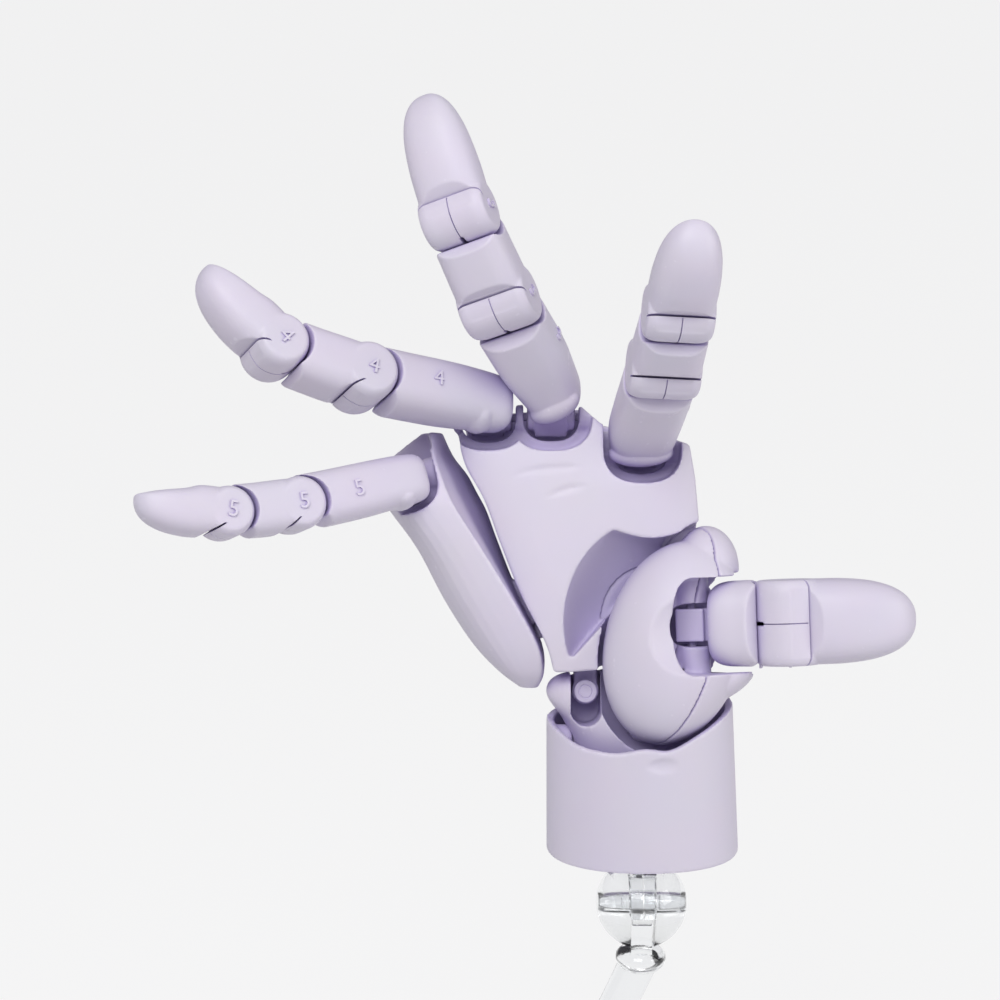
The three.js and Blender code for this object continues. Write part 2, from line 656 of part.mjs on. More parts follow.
function thumbSaddle() {
  const turnedBarrel = bar('z', saddleBarrelDiameter / 2, saddleBarrelHalf, 16);
  const pegEnd = palmBack - 3.4 - thenarCentre.y;
  const peg = moved(bar('y', saddlePegDiameter / 2, pegEnd / 2, 16), at(0, pegEnd / 2, 0));
  return moved(joined(turnedBarrel, peg), thenarPlace().multiply(at(0, 0, -saddleDrop)));
}

// Wrist

const blockCentre = 12.6;

function wristBlock() {
  const shell = loft([
    ring({ z: -20.5, half: 11, front: 5, back: 5, x: blockCentre, points: 20 }),
    ring({ z: -17, half: 14.4, front: 8.6, back: 8.6, x: blockCentre, points: 20 }),
    ring({ z: -11, half: 16.2, front: blockRadius, back: blockRadius, x: blockCentre, points: 20 }),
    ring({ z: -5.5, half: 17.2, front: blockRadius, back: 9.8, x: blockCentre - 0.4, points: 20 }),
    ring({ z: -1, half: blockWidth / 2 + 1, front: 9.8, back: 8, x: blockCentre - 2.6, points: 20 }),
    ring({ z: 2.2, half: blockWidth / 2, front: 9, back: 7.2, x: blockCentre - 2.4, points: 20 }),
    ring({ z: blockTop, half: blockWidth / 2 - 3, front: 7.4, back: 6, x: blockCentre - 2.4, points: 20 }),
  ]);
  const half = wristSlotWidth / 2;
  const slot = box(-half, half, -30, 4.2, -4.4, 20);
  const slotFoot = moved(bar('y', half, 17.1, 20), at(0, -12.9, -4.4));
  const shank = wristPinDiameter / 2 - 1;
  const pinHole = bar('y', shank + 0.2, 20, 16);
  const axleHole = moved(bar('x', wristAxleDiameter / 2 + 0.2, 40, 16), at(0, 0, -wristAxleDrop));
  const bosses = [-1, 1].map((side) => moved(bar('x', bossRadius + clearance, 10, 16),
    at(blockCentre + side * (bossInset - clearance + 10), 0, -wristAxleDrop)));
  const lugRoom = plate([[5, 20], [5.6, 1.8], [12.6, -3.8], [24, -3.8], [27, -1], [27, 20]], -30, 30);
  return cutBy(shell, slot, slotFoot, pinHole, axleHole, ...bosses, thenarForm(2.6), lugRoom);
}

function wristPin() {
  const shank = bar('y', wristPinDiameter / 2 - 1, 5.6, 16);
  const head = moved(bar('y', wristPinDiameter / 2, 1, 20), at(0, -3.8, 0));
  return joined(moved(shank, at(0, 2.2, 0)), head);
}

const bossRadius = 3.4;
const bossInset = 15.6;

function cuffRings(shrink, bottom, top) {
  const width = (height) => {
    const share = (height + cuffBottomDrop) / cuffBottomDrop;
    return (cuffBottomWidth + (cuffTopWidth - cuffBottomWidth) * share) / 2 - shrink;
  };
  const levels = [bottom, (bottom * 2 + top) / 3, (bottom + top * 2) / 3, top];
  return levels.map((height) => ring({
    z: height, half: width(height), front: cuffDepth / 2 - shrink, back: cuffDepth / 2 - shrink,
    x: cuffOffset - 1.2 * (height + cuffBottomDrop) / cuffBottomDrop, square: 2.3, points: 24,
  }));
}

// The cuff and its cap are drawn about the wrist pin's height, with the axle on their own axis.
function wristCuff() {
  const outer = loft(cuffRings(0, -cuffBottomDrop, 0));
  const inner = loft(cuffRings(cuffWall, -cuffBottomDrop - 1, 1));
  const rimTop = cuffRimRadius - cuffFrontRimDrop;
  const rimCut = moved(bar('y', cuffRimRadius, 40, 48), at(rimLowOffset, 0, rimTop));
  const axleHeight = -wristAxleDrop * Math.cos(rad(wristLeanBack));
  const bosses = [-1, 1].map((side) => moved(bar('x', bossRadius, 3, 16),
    at(blockCentre + side * (bossInset + 3), 0, axleHeight)));
  const shell = cutBy(joined(cutBy(outer, inner), ...bosses.map((boss) => boss.intersect(outer))), rimCut);
  const axleHole = moved(bar('x', wristAxleDiameter / 2 + 0.2, bossInset + 2.6, 16),
    at(blockCentre, 0, axleHeight));
  return cutBy(shell, axleHole);
}

function cuffCap() {
  const blank = loft(cuffRings(cuffWall + clearance, -cuffBottomDrop + 0.4,
    -cuffBottomDrop + 0.4 + endCapThickness));
  const boss = moved(bar('z', pegDiameter / 2 + 2.4, pegLength / 2, 24),
    at(cuffOffset, 0, -cuffBottomDrop + 0.4 + pegLength / 2));
  const hole = moved(bar('z', pegDiameter / 2 + clearance, 40, 24), at(cuffOffset, 0, -cuffBottomDrop));
  return cutBy(joined(blank, boss), hole);
}

// Stand

function standBase() {
  const radius = baseDiameter / 2;
  const bore = postDiameter / 2 - 3 + clearance;
  return turnedBody([[0, 0], [radius - 1.2, 0], [radius, 1.2], [radius, baseThickness - 2.4],
    [radius - 1, baseThickness - 1], [radius - 3, baseThickness], [bore, baseThickness],
    [bore, 1.6], [0, 1.6]], 40);
}

function standPost() {
  const radius = postDiameter / 2;
  const seat = baseThickness + clearance;
  const body = turnedBody([[0, 2], [radius - 3, 2], [radius - 3, seat], [radius + 2, seat],
    [radius + 2, seat + 1.4], [radius, seat + 3], [radius, armHingeHeight + 3],
    [radius - 2, armHingeHeight + 6.4], [0, armHingeHeight + 6.8]], 20);
  const slotHalf = hingePlateThickness / 2 + clearance;
  const slot = box(-40, 40, -slotHalf, slotHalf, armHingeHeight - 7.6, 60);
  const hole = moved(bar('y', hingePinDiameter / 2 + 0.2, 20, 16), at(0, 0, armHingeHeight));
  return cutBy(body, slot, hole);
}

// The arm is drawn about its lower hinge, already leaning.
function standArm() {
  const top = new THREE.Vector3(0, 0, armLength).applyMatrix4(turned(yAxis, armLean));
  const collarDrop = 14.4;
  const collar = new THREE.Vector3(top.x, 0, top.z - collarDrop);
  const rodLength = Math.hypot(collar.x, collar.z);
  const rodLean = Math.atan2(collar.x, collar.z) * 180 / Math.PI;
  const rodPlace = turned(yAxis, rodLean);
  const rodStart = 10;
  const rod = moved(bar('z', armDiameter / 2, (rodLength - rodStart) / 2, 16),
    rodPlace.clone().multiply(at(0, 0, (rodLength + rodStart) / 2)));
  const lowEye = bar('y', 6.4, hingePlateThickness / 2, 24);
  const lowNeck = moved(box(-4, 4, -hingePlateThickness / 2, hingePlateThickness / 2, 0, 11), rodPlace);
  const lowShoulder = moved(bar('z', armDiameter / 2 + 1, 1.5, 20),
    rodPlace.clone().multiply(at(0, 0, 12)));
  const collarBody = moved(turnedBody([[0, -2.4], [4.6, -2.4], [6, -1], [6, 1.6], [4.4, 3], [0, 3]], 24),
    at(collar.x, 0, collar.z));
  const eye = moved(bar('x', 6, hingePlateThickness / 2, 24), at(top.x, 0, top.z));
  const neck = box(top.x - hingePlateThickness / 2, top.x + hingePlateThickness / 2, -4, 4,
    collar.z, top.z);
  const lowHole = bar('y', hingePinDiameter / 2 + 0.2, 20, 16);
  const topHole = moved(bar('x', hingePinDiameter / 2 + 0.2, 20, 16), at(top.x, 0, top.z));
  return cutBy(joined(rod, lowEye, lowNeck, lowShoulder, collarBody, eye, neck), lowHole, topHole);
}

function headHalf(side) {
  const radius = headDiameter / 2;
  const far = 40;
  const ball = oval(radius, radius, radius, turned(yAxis, 90), 20, 14);
  const across = side === 'left' ? box(-far, -partingGap / 2, -far, far, -far, far)
    : box(partingGap / 2, far, -far, far, -far, far);
  const slotHalf = hingePlateThickness / 2 + clearance;
  const slot = joined(box(-slotHalf, slotHalf, -far, far, -far, 0), bar('x', 6.4, slotHalf, 24));
  const pinHole = bar('x', hingePinDiameter / 2 + 0.2, radius - 1.6, 16);
  const half = cutBy(ball.intersect(across), slot, pinHole);
  const foot = radius - 4;
  const pegTop = radius + cuffGapAboveHead + pegLength - 1;
  const peg = (grow) => moved(bar('z', pegDiameter / 2 + grow, (pegTop - foot) / 2 + grow, 24),
    at(0, 0, (foot + pegTop) / 2));
  return side === 'left' ? cutBy(half, peg(clearance)) : joined(half, peg(0));
}

// Assembly

const hand = new THREE.Group();
const headHeight = armHingeHeight + armLength * Math.cos(rad(armLean));
const headReach = armLength * Math.sin(rad(armLean));
const pinHeight = headHeight + headDiameter / 2 + cuffGapAboveHead + cuffBottomDrop;

hand.add(mesh('stand_base', standBase(), standMaterial()));
const post = hingeGroup('stand_post_body', hand, new THREE.Vector3(), zAxis, 0);
post.add(mesh('stand_post', standPost(), standMaterial()));
const armPin = mesh('stand_arm_pin', bar('y', hingePinDiameter / 2, postDiameter / 2, 16), standMaterial());
armPin.position.set(0, 0, armHingeHeight);
post.add(armPin);
const arm = hingeGroup('stand_arm_body', post, up(armHingeHeight), yAxis, 0);
arm.add(mesh('stand_arm', standArm(), standMaterial()));
const head = hingeGroup('stand_head_body', arm,
  new THREE.Vector3(headReach, 0, headHeight - armHingeHeight), xAxis, 0);
head.add(mesh('stand_head_left', headHalf('left'), standMaterial()));
head.add(mesh('stand_head_right', headHalf('right'), standMaterial()));
head.add(mesh('stand_head_pin', bar('x', hingePinDiameter / 2, headDiameter / 2 - 2, 16), standMaterial()));

const cuff = hingeGroup('wrist_cuff_body', head, up(0), zAxis, 0);
const cuffLevel = pinHeight - headHeight;
[['wrist_cuff', wristCuff()], ['cuff_end_cap', cuffCap()]].forEach(([name, body]) => {
  const piece = mesh(name, body, handMaterial());
  piece.position.set(-cuffOffset, 0, cuffLevel);
  cuff.add(piece);
});
const axleHeight = cuffLevel - wristAxleDrop * Math.cos(rad(wristLeanBack));
const wristAxle = mesh('wrist_axle', bar('x', wristAxleDiameter / 2, bossInset + 2.2, 16), handMaterial());
wristAxle.position.set(blockCentre - cuffOffset, 0, axleHeight);
cuff.add(wristAxle);

const block = hingeGroup('wrist_block_body', cuff, new THREE.Vector3(-cuffOffset, 0, axleHeight),
  xAxis, -wristLeanBack);
const blockPiece = mesh('wrist_block', wristBlock(), handMaterial());
blockPiece.position.z = wristAxleDrop;
block.add(blockPiece);
const wristPinPiece = mesh('wrist_pin', wristPin(), handMaterial());
wristPinPiece.position.z = wristAxleDrop;
block.add(wristPinPiece);

const palm = hingeGroup('palm_body', block, up(wristAxleDrop), yAxis, 0);
palm.add(mesh('palm_front', palmFrontPiece(), handMaterial()));
palm.add(mesh('palm_back', palmBackPiece(), handMaterial()));
const foldPin = bar('x', kneePinDiameter / 2, foldPinHalf, 12);
palm.add(mesh('palm_fold_pin', moved(foldPin, foldPlace()), handMaterial()));

const pinsInPalm = [indexFinger, middleFinger, ringFinger];
pinsInPalm.forEach((finger) => addFinger(palm, finger, cupHalfWidth - 0.9, fingerPinHalf));

// A group at a point whose contents are drawn in its parent's frame.
function carriedGroup(name, parent, point) {
  const group = hingeGroup(name, parent, point, zAxis, 0);
  const drawing = new THREE.Group();
  drawing.position.copy(point).negate();
  group.add(drawing);
  return drawing;
}

const side = carriedGroup('palm_side_body', palm, foldPoint);
side.add(mesh('palm_side', littleSidePiece(), handMaterial()));
addFinger(side, littleFinger, littleCupHalfWidth - 0.7, littlePinHalf);

const saddle = carriedGroup('thumb_saddle_body', palm, saddlePoint());
saddle.add(mesh('thumb_saddle', thumbSaddle(), handMaterial()));
const thenar = carriedGroup('thumb_base_body', saddle, saddlePoint());
thenar.add(mesh('thumb_base_front', thenarHalf('front'), handMaterial()));
thenar.add(mesh('thumb_base_back', thenarHalf('back'), handMaterial()));
addFinger(thenar, thumb, 3.4, thumbPinHalf);

hand.updateMatrixWorld(true);

export default hand;
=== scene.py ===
"""The posable hand in matte lavender plastic on its clear stand."""
import json
import math

import bmesh
import bpy
from mathutils import Matrix, Vector


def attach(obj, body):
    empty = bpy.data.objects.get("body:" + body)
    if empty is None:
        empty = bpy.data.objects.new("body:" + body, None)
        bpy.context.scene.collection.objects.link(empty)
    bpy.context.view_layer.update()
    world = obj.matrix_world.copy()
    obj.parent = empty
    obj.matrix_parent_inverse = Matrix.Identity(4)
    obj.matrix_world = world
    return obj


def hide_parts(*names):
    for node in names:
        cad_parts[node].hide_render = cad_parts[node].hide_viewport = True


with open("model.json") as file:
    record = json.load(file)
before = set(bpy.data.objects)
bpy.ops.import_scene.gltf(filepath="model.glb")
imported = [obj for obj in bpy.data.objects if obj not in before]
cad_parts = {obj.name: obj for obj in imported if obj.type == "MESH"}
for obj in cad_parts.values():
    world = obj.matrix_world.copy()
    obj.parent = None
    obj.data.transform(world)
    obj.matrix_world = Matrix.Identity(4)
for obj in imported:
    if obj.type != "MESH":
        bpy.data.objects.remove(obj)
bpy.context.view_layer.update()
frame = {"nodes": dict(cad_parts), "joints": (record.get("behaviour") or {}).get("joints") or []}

MM = 0.001
JOINTS = {j["name"]: j for j in frame["joints"]}

# Sizes in millimetres, as on the real hand.
SADDLE_GAP = 0.35
GAP = 0.3
TONGUE_RADIUS = 3.9
SPLAY_TONGUE_HALF = 2.1
SPLAY_TONGUE_RADIUS = 4.4
BARREL_RADIUS = 3.3
PIN_RADIUS = 1.0
FINGERS = ("index", "middle", "ring", "little")
WIDTH = {"index": 16.0, "middle": 16.6, "ring": 15.6, "little": 13.6, "thumb": 20.0}
THICKNESS = {"index": 14.0, "middle": 14.4, "ring": 13.8, "little": 12.4, "thumb": 16.4}
ROOT_SHARE = {"index": 0.97, "middle": 0.8, "ring": 0.76, "little": 0.94, "thumb": 0.97}
ROOT_FOLD = {"index": 0.8, "middle": 1.6, "ring": 5.5, "little": 4.5}
DIGIT = {"thumb": "1", "index": "2", "middle": "3", "ring": "4", "little": "5"}
TAPER = (1.0, 0.985, 0.93)
BARREL_HALF = {"index": 5.6, "middle": 5.6, "ring": 5.6, "little": 4.5, "thumb": 3.4}
BORE = 1.9
FAR = 60

# How finely a piece is melted into one skin.
FINE = 0.28
MEDIUM = 0.36
COARSE = 0.42

SAME = 1e-4
SHARP_EDGE = math.radians(50)
SHADED_SMOOTH = math.radians(38)


# Working as by hand

def select_only(*objects):
    bpy.ops.object.select_all(action="DESELECT")
    for o in objects:
        o.select_set(True)
    bpy.context.view_layer.objects.active = objects[0]


def new_piece(place=None):
    """The primitive just added, put where it belongs with its place in its mesh."""
    piece = bpy.context.object
    if place is not None:
        piece.matrix_world = place @ piece.matrix_world
    select_only(piece)
    bpy.ops.object.transform_apply(location=True, rotation=True, scale=True)
    return piece


def linked(name, data):
    """A new object that holds the data, alone selected."""
    piece = bpy.data.objects.new(name, data)
    bpy.context.scene.collection.objects.link(piece)
    select_only(piece)
    return piece


def drawn(name, points, faces):
    """A piece made straight from its corners and faces."""
    mesh = bpy.data.meshes.new(name)
    mesh.from_pydata(points, [], faces)
    return linked(name, mesh)


def pick(piece, test):
    """In edit mode, selects the vertices that pass the test and what lies between them."""
    bpy.ops.mesh.select_mode(type="VERT")
    bpy.ops.mesh.select_all(action="DESELECT")
    mesh = bmesh.from_edit_mesh(piece.data)
    for vertex in mesh.verts:
        vertex.select_set(test(vertex))
    mesh.select_flush(True)
    bmesh.update_edit_mesh(piece.data)


def close_up(piece, merge=None):
    """Merges doubles where a distance is given, and turns the faces of a closed skin outwards."""
    select_only(piece)
    bpy.ops.object.mode_set(mode="EDIT")
    bpy.ops.mesh.select_all(action="SELECT")
    if merge:
        bpy.ops.mesh.remove_doubles(threshold=merge)
    bpy.ops.mesh.normals_make_consistent(inside=False)
    bpy.ops.object.mode_set(mode="OBJECT")
    return piece


def rod(radius, half, axis="X", centre=(0, 0, 0), sides=64, edge=0.0, place=None):
    """A round bar along one axis, with its rims rounded by a bevel."""
    bpy.ops.mesh.primitive_cylinder_add(vertices=sides, radius=radius, depth=2 * half)
    piece = bpy.context.object
    if edge > 0:
        ease_edges(piece, edge, 6)
    turn = {"X": Matrix.Rotation(math.pi / 2, 4, "Y"), "Y": Matrix.Rotation(-math.pi / 2, 4, "X"),
            "Z": Matrix.Identity(4)}[axis]
    local = Matrix.Translation(centre) @ turn
    return new_piece(local if place is None else place @ local)


def block(low, high, place=None):
    bpy.ops.mesh.primitive_cube_add(size=1)
    piece = bpy.context.object
    piece.scale = [high[i] - low[i] for i in range(3)]
    piece.location = [(high[i] + low[i]) / 2 for i in range(3)]
    bpy.context.view_layer.update()
    return new_piece(place)


def ball(radii, centre=(0, 0, 0), place=None, around=64, along=40):
    bpy.ops.mesh.primitive_uv_sphere_add(segments=around, ring_count=along, radius=1)
    piece = bpy.context.object
    piece.scale = radii
    piece.location = centre
    bpy.context.view_layer.update()
    return new_piece(place)


def modify(piece, kind, **settings):
    """Adds a modifier, sets it and applies it."""
    select_only(piece)
    modifier = piece.modifiers.new(kind.title(), kind)
    for name, value in settings.items():
        setattr(modifier, name, value)
    bpy.ops.object.modifier_apply(modifier=modifier.name)
    return piece


def ease_edges(piece, width, segments):
    """Rounds the sharp edges and leaves the flat ones."""
    return modify(piece, "BEVEL", width=width, segments=segments, limit_method="ANGLE",
                  angle_limit=SHARP_EDGE)


def combine(piece, others, operation):
    for other in others:
        modify(piece, "BOOLEAN", object=other, operation=operation, solver="MANIFOLD")
        bpy.data.objects.remove(other)
    return piece


def joined(piece, *others):
    return combine(piece, others, "UNION")


def cut(piece, *cutters):
    return combine(piece, cutters, "DIFFERENCE")


def common(piece, other):
    return combine(piece, [other], "INTERSECT")


def smooth_subdivide(piece, levels):
    return modify(piece, "SUBSURF", levels=levels, render_levels=levels)


def soften(piece, voxel, passes):
    """Melts a cut piece into one skin with eased edges, as it comes out of a mould."""
    modify(piece, "REMESH", mode="VOXEL", voxel_size=voxel, use_smooth_shade=True)
    return modify(piece, "SMOOTH", factor=0.5, iterations=passes)


def ring(z, half, front, back, x=0.0, y=0.0):
    """One cross section of a stack: half its width, and its depth to the front and the back."""
    return {"z": z, "half": half, "front": front, "back": back, "x": x, "y": y}


def stack(rings, sides=16, corner=1.0, levels=2, place=None):
    """A body drawn up from a disc: each ring is the last one extruded, moved and sized."""
    grow = 6 / (4 + 2 * math.cos(2 * math.pi / sides)) if levels else 1.0
    bpy.ops.mesh.primitive_circle_add(vertices=sides, radius=1, fill_type="NGON",
                                      rotation=(0, 0, math.pi / sides))
    piece = new_piece()
    bpy.ops.object.mode_set(mode="EDIT")
    if corner != 1.0:
        pick(piece, lambda v: abs(abs(v.co.x) - abs(v.co.y)) < 0.6)
        bpy.ops.transform.resize(value=(corner, corner, 1), center_override=(0, 0, 0))
    bpy.ops.mesh.select_all(action="SELECT")
    old = ring(0, 1, 1, 1)
    for i, new in enumerate(rings):
        new = dict(new, half=new["half"] * grow, front=new["front"] * grow, back=new["back"] * grow)
        if i:
            bpy.ops.mesh.extrude_region()
        bpy.ops.transform.translate(value=[new[k] - old[k] for k in "xyz"])
        centre = (new["x"], new["y"], new["z"])
        bpy.ops.transform.resize(value=(new["half"] / old["half"], new["back"] / old["back"], 1),
                                 center_override=centre)
        share = (new["front"] / old["front"]) / (new["back"] / old["back"])
        if abs(share - 1) > 1e-6:
            pick(piece, lambda v: abs(v.co.z - centre[2]) < SAME and v.co.y < centre[1])
            bpy.ops.transform.resize(value=(1, share, 1), center_override=centre)
            pick(piece, lambda v: abs(v.co.z - centre[2]) < SAME)
        old = new
    bpy.ops.object.mode_set(mode="OBJECT")
    close_up(piece)
    if levels:
        smooth_subdivide(piece, levels)
    return new_piece(place)


def turned(profile, sides=96, place=None):
    """A turned body from pairs of radius and height."""
    return stack([ring(z, r, r, r) for r, z in profile], sides=sides, levels=0, place=place)


# Lays a slab's outline in the YZ plane, extruded along X.
ACROSS = Matrix(((0, 1, 0, 0), (1, 0, 0, 0), (0, 0, 1, 0), (0, 0, 0, 1)))


def slab(outline, low, high, place=None):
    """An outline in the XZ plane, filled and extruded along Y."""
    drawn("slab", [(x, low, z) for x, z in outline], [list(range(len(outline)))])
    bpy.ops.object.mode_set(mode="EDIT")
    bpy.ops.mesh.select_all(action="SELECT")
    bpy.ops.mesh.extrude_region()
    bpy.ops.transform.translate(value=(0, high - low, 0))
    bpy.ops.object.mode_set(mode="OBJECT")
    return close_up(new_piece(place))


def flowing(points, steps=6):
    """A smooth line through points, as a bent spline lies through them."""
    line = []
    ends = [points[0], *points, points[-1]]
    for corners in zip(ends, ends[1:], ends[2:], ends[3:]):
        for i in range(steps):
            t = i / steps
            line.append(tuple(0.5 * (2 * q + (r - p) * t + (2 * p - 5 * q + 4 * r - s) * t ** 2
                                     + (3 * q - p - 3 * r + s) * t ** 3)
                              for p, q, r, s in zip(*corners)))
    line.append(tuple(points[-1]))
    return line


def shell(rings):
    """A closed body through rings of points, with its ends filled."""
    count = len(rings[0])
    faces = [list(range(count)), list(range(len(rings) * count - count, len(rings) * count))]
    for r in range(len(rings) - 1):
        for i in range(count):
            j = (i + 1) % count
            faces.append([r * count + i, r * count + j, (r + 1) * count + j, (r + 1) * count + i])
    return close_up(drawn("shell", [p for loop in rings for p in loop], faces))


def cord_line(points, radius, place=None):
    """A thin round tube along points, used to press a fold or a line into a surface."""
    curve = bpy.data.curves.new("line", "CURVE")
    curve.dimensions = "3D"
    curve.bevel_depth = radius
    curve.bevel_resolution = 3
    curve.use_fill_caps = True
    spline = curve.splines.new("POLY")
    spline.points.add(len(points) - 1)
    for spot, p in zip(spline.points, points):
        spot.co = (*p, 1)
    linked("line", curve)
    bpy.ops.object.convert(target="MESH")
    close_up(bpy.context.object, SAME)
    return new_piece(place)


def numeral(figure, size, depth, place):
    """A plain number as a thin solid, to stand out of a surface."""
    bpy.ops.object.text_add()
    letter = bpy.context.object.data
    letter.body = figure
    letter.size = size
    letter.extrude = depth
    letter.align_x = "CENTER"
    letter.align_y = "CENTER"
    bpy.ops.object.convert(target="MESH")
    close_up(bpy.context.object, SAME / 10)
    return new_piece(place)


def sector(radius, start, end, half):
    """A slice of a disc across X. Degrees count from straight down towards the back."""
    steps = max(2, int(abs(end - start) / 8))
    turns = [math.radians(start + (end - start) * i / steps) for i in range(steps + 1)]
    outline = [(0.0, 0.0)] + [(radius * math.sin(a), -radius * math.cos(a)) for a in turns]
    return slab(outline, -half, half, ACROSS)


# Places read from the joints

def axes_place(origin, x, z):
    """A frame at a point in metres, with its own units in millimetres."""
    x = Vector(x).normalized()
    z = (Vector(z) - x * Vector(z).dot(x)).normalized()
    y = z.cross(x)
    turn = Matrix((x, y, z)).transposed().to_4x4()
    return Matrix.Translation(origin) @ turn @ Matrix.Scale(MM, 4)


def point(joint):
    return Vector(JOINTS[joint]["pos_m"])


def axis(joint):
    return Vector(JOINTS[joint]["axis"]).normalized()


def tip_of(node, origin):
    """The far end of a fingertip, from its solid."""
    points = [v.co for v in frame["nodes"][node].data.vertices]
    reach = max((p - origin).length for p in points)
    far = [p for p in points if (p - origin).length > reach - 1.0 * MM]
    return sum(far, Vector()) / len(far)


def seat_place(finger):
    """The frame of a finger's cup, about its knuckle pin, in the piece that carries it."""
    side = knuckle_side(finger)
    return axes_place(point(lift_name(finger)), side, side.cross(PALM_BACKWARDS))


def knuckle_side(finger):
    return axis(lift_name(finger)) * (1 if finger == "thumb" else -1)


def finger_places(finger):
    """The frame of each piece of a finger and its length in millimetres."""
    knuckle, splay, bend = point(lift_name(finger)), point(splay_name(finger)), point(f"{finger}_bend")
    side = axis(f"{finger}_bend")
    places = {"proximal": (axes_place(splay, side, bend - splay), (bend - splay).length / MM)}
    places["knuckle"] = (axes_place(knuckle, knuckle_side(finger), splay - knuckle),
                         (splay - knuckle).length / MM)
    last = bend
    if finger != "thumb":
        tip_joint = point(f"{finger}_tip")
        places["middle"] = (axes_place(bend, side, tip_joint - bend), (tip_joint - bend).length / MM)
        last = tip_joint
    end = tip_of(f"{finger}_distal", last)
    places["distal"] = (axes_place(last, side, end - last), (end - last).length / MM)
    return places


def lift_name(finger):
    return "thumb_knuckle_flex" if finger == "thumb" else f"{finger}_knuckle_lift"


def splay_name(finger):
    return "thumb_splay" if finger == "thumb" else f"{finger}_splay"


PALM_BACKWARDS = -axis("wrist_sway")
PALM = axes_place(point("wrist_sway"), axis("wrist_flex"), axis("wrist_flex").cross(PALM_BACKWARDS))
CUFF = Matrix.Translation((point("wrist_sway").x, 0, point("wrist_sway").z)) @ Matrix.Scale(MM, 4)
HEAD = Matrix.Translation(point("stand_head_tilt")) @ Matrix.Scale(MM, 4)
ARM = Matrix.Translation(point("stand_arm_tilt")) @ Matrix.Scale(MM, 4)
GROUND = Matrix.Scale(MM, 4)


def splay_turns(finger, root_place):
    """The turns, about the root's own Y, that its knuckle's tongue takes over the whole splay."""
    local = root_place.inverted()
    towards = local @ point(lift_name(finger))
    rest = math.atan2(-towards.x, -towards.z)
    sense = 1 if (local.to_3x3() @ axis(splay_name(finger))).y > 0 else -1
    low, high = (math.radians(limit) for limit in JOINTS[splay_name(finger)]["range_deg"])
    steps = max(2, math.ceil((high - low) / math.radians(9)))
    spare = math.radians(2)
    ends = (low - spare, high + spare)
    return [rest - sense * (ends[0] + (ends[1] - ends[0]) * i / steps) for i in range(steps + 1)]


def rest_bend(lower, upper):
    """How far the upper piece is bent from straight at rest, in degrees."""
    a, b = lower.to_3x3().col[2], upper.to_3x3().col[2]
    side = lower.to_3x3().col[0]
    return math.degrees(math.atan2(a.cross(b).dot(side.normalized()) / (a.length * b.length),
                                   a.dot(b) / (a.length * b.length)))


# Finger pieces

NECK_FROM = 46
NECK_TO = 58
CURL = {"middle": 84, "distal": 74}
BACK_STOP = 4
CURL_SPARE = 3
BACK_SPARE = 5
PROW = {"middle": 38, "distal": 43}
PROW_SLOPE = 37
NOTCH_SLOPE = 54
RIM_REACH = 76
EASE_WIDE = 3.4
EASE_DEEP = 1.7
TONGUE_SHOWN = 0.32
TONGUE_ROOM = 0.12
NUMBER_SIZE = 5.2
NUMBER_DEPTH = 0.5
SEAM_FROM = -121
SEAM_SPARE = 2
HAIR_HALF = 0.13
HAIR_DEPTH = 0.6
SWING_ROOM = 0.3


def saddle(piece, length, radius, half, back, prow):
    """The end that hugs the next barrel. Its prow in front fits into the next piece's notch."""
    rim = length - radius * math.cos(math.radians(min(RIM_REACH, 84 + back)))
    seat = rod(radius + SADDLE_GAP, half + 3, centre=(0, 0, length), sides=96)
    beyond = block((-30, 0, rim), (30, 30, length + 40))
    turn = math.radians(prow)
    reach = radius + SADDLE_GAP
    corner = Matrix.Translation((0, -reach * math.sin(turn), length - reach * math.cos(turn)))
    slope = Matrix.Rotation(math.radians(PROW_SLOPE), 4, "X")
    facet = block((-30, -60, 0), (30, 0.4, 60), corner @ slope)
    above = block((-30, -30, length - reach * math.cos(turn)), (30, 0.5, length + 40))
    cut(piece, seat, beyond, facet, above)
    disc = rod(TONGUE_RADIUS, TONGUE_SHOWN, centre=(0, 0, length), sides=48)
    neck = sector(radius + 0.9, NECK_FROM, NECK_TO, TONGUE_SHOWN)
    neck.data.transform(Matrix.Translation((0, 0, length)))
    return joined(piece, joined(disc, neck))


def tongue_slot(piece, radius, back, curl):
    """The room in a barrel for the tongue of the piece before it."""
    room = rod(TONGUE_RADIUS + 0.3, TONGUE_SHOWN + TONGUE_ROOM, sides=48)
    path = sector(radius + 4, NECK_FROM - curl - CURL_SPARE, NECK_TO - back + BACK_SPARE,
                  TONGUE_SHOWN + TONGUE_ROOM)
    return cut(piece, joined(room, path))


def barrel(radius, half):
    """The round end of a piece, turned, with a wide easing towards its flat sides."""
    turns = [math.radians(15 * i) for i in range(7)]
    ease = [(radius - EASE_DEEP * (1 - math.cos(t)), half - EASE_WIDE * (1 - math.sin(t))) for t in turns]
    profile = [(r, -x) for r, x in reversed(ease)] + ease
    return turned(profile, 96, Matrix.Rotation(math.pi / 2, 4, "Y"))


def notch(piece, radius, half):
    """The slanted notch between a barrel's pad and the rest of the piece, on the palm side."""
    inner = (-0.5 * radius, 0.2 * radius)
    wall = (-1.6 * radius, inner[1] + 1.1 * radius * math.tan(math.radians(NOTCH_SLOPE)))
    wedge = slab([inner, wall, (-1.6 * radius, 0.0), (-0.6 * radius, 0.0)], -2 * half, 2 * half, ACROSS)
    return cut(piece, cut(wedge, rod(0.975 * radius, 3 * half, sides=96)))


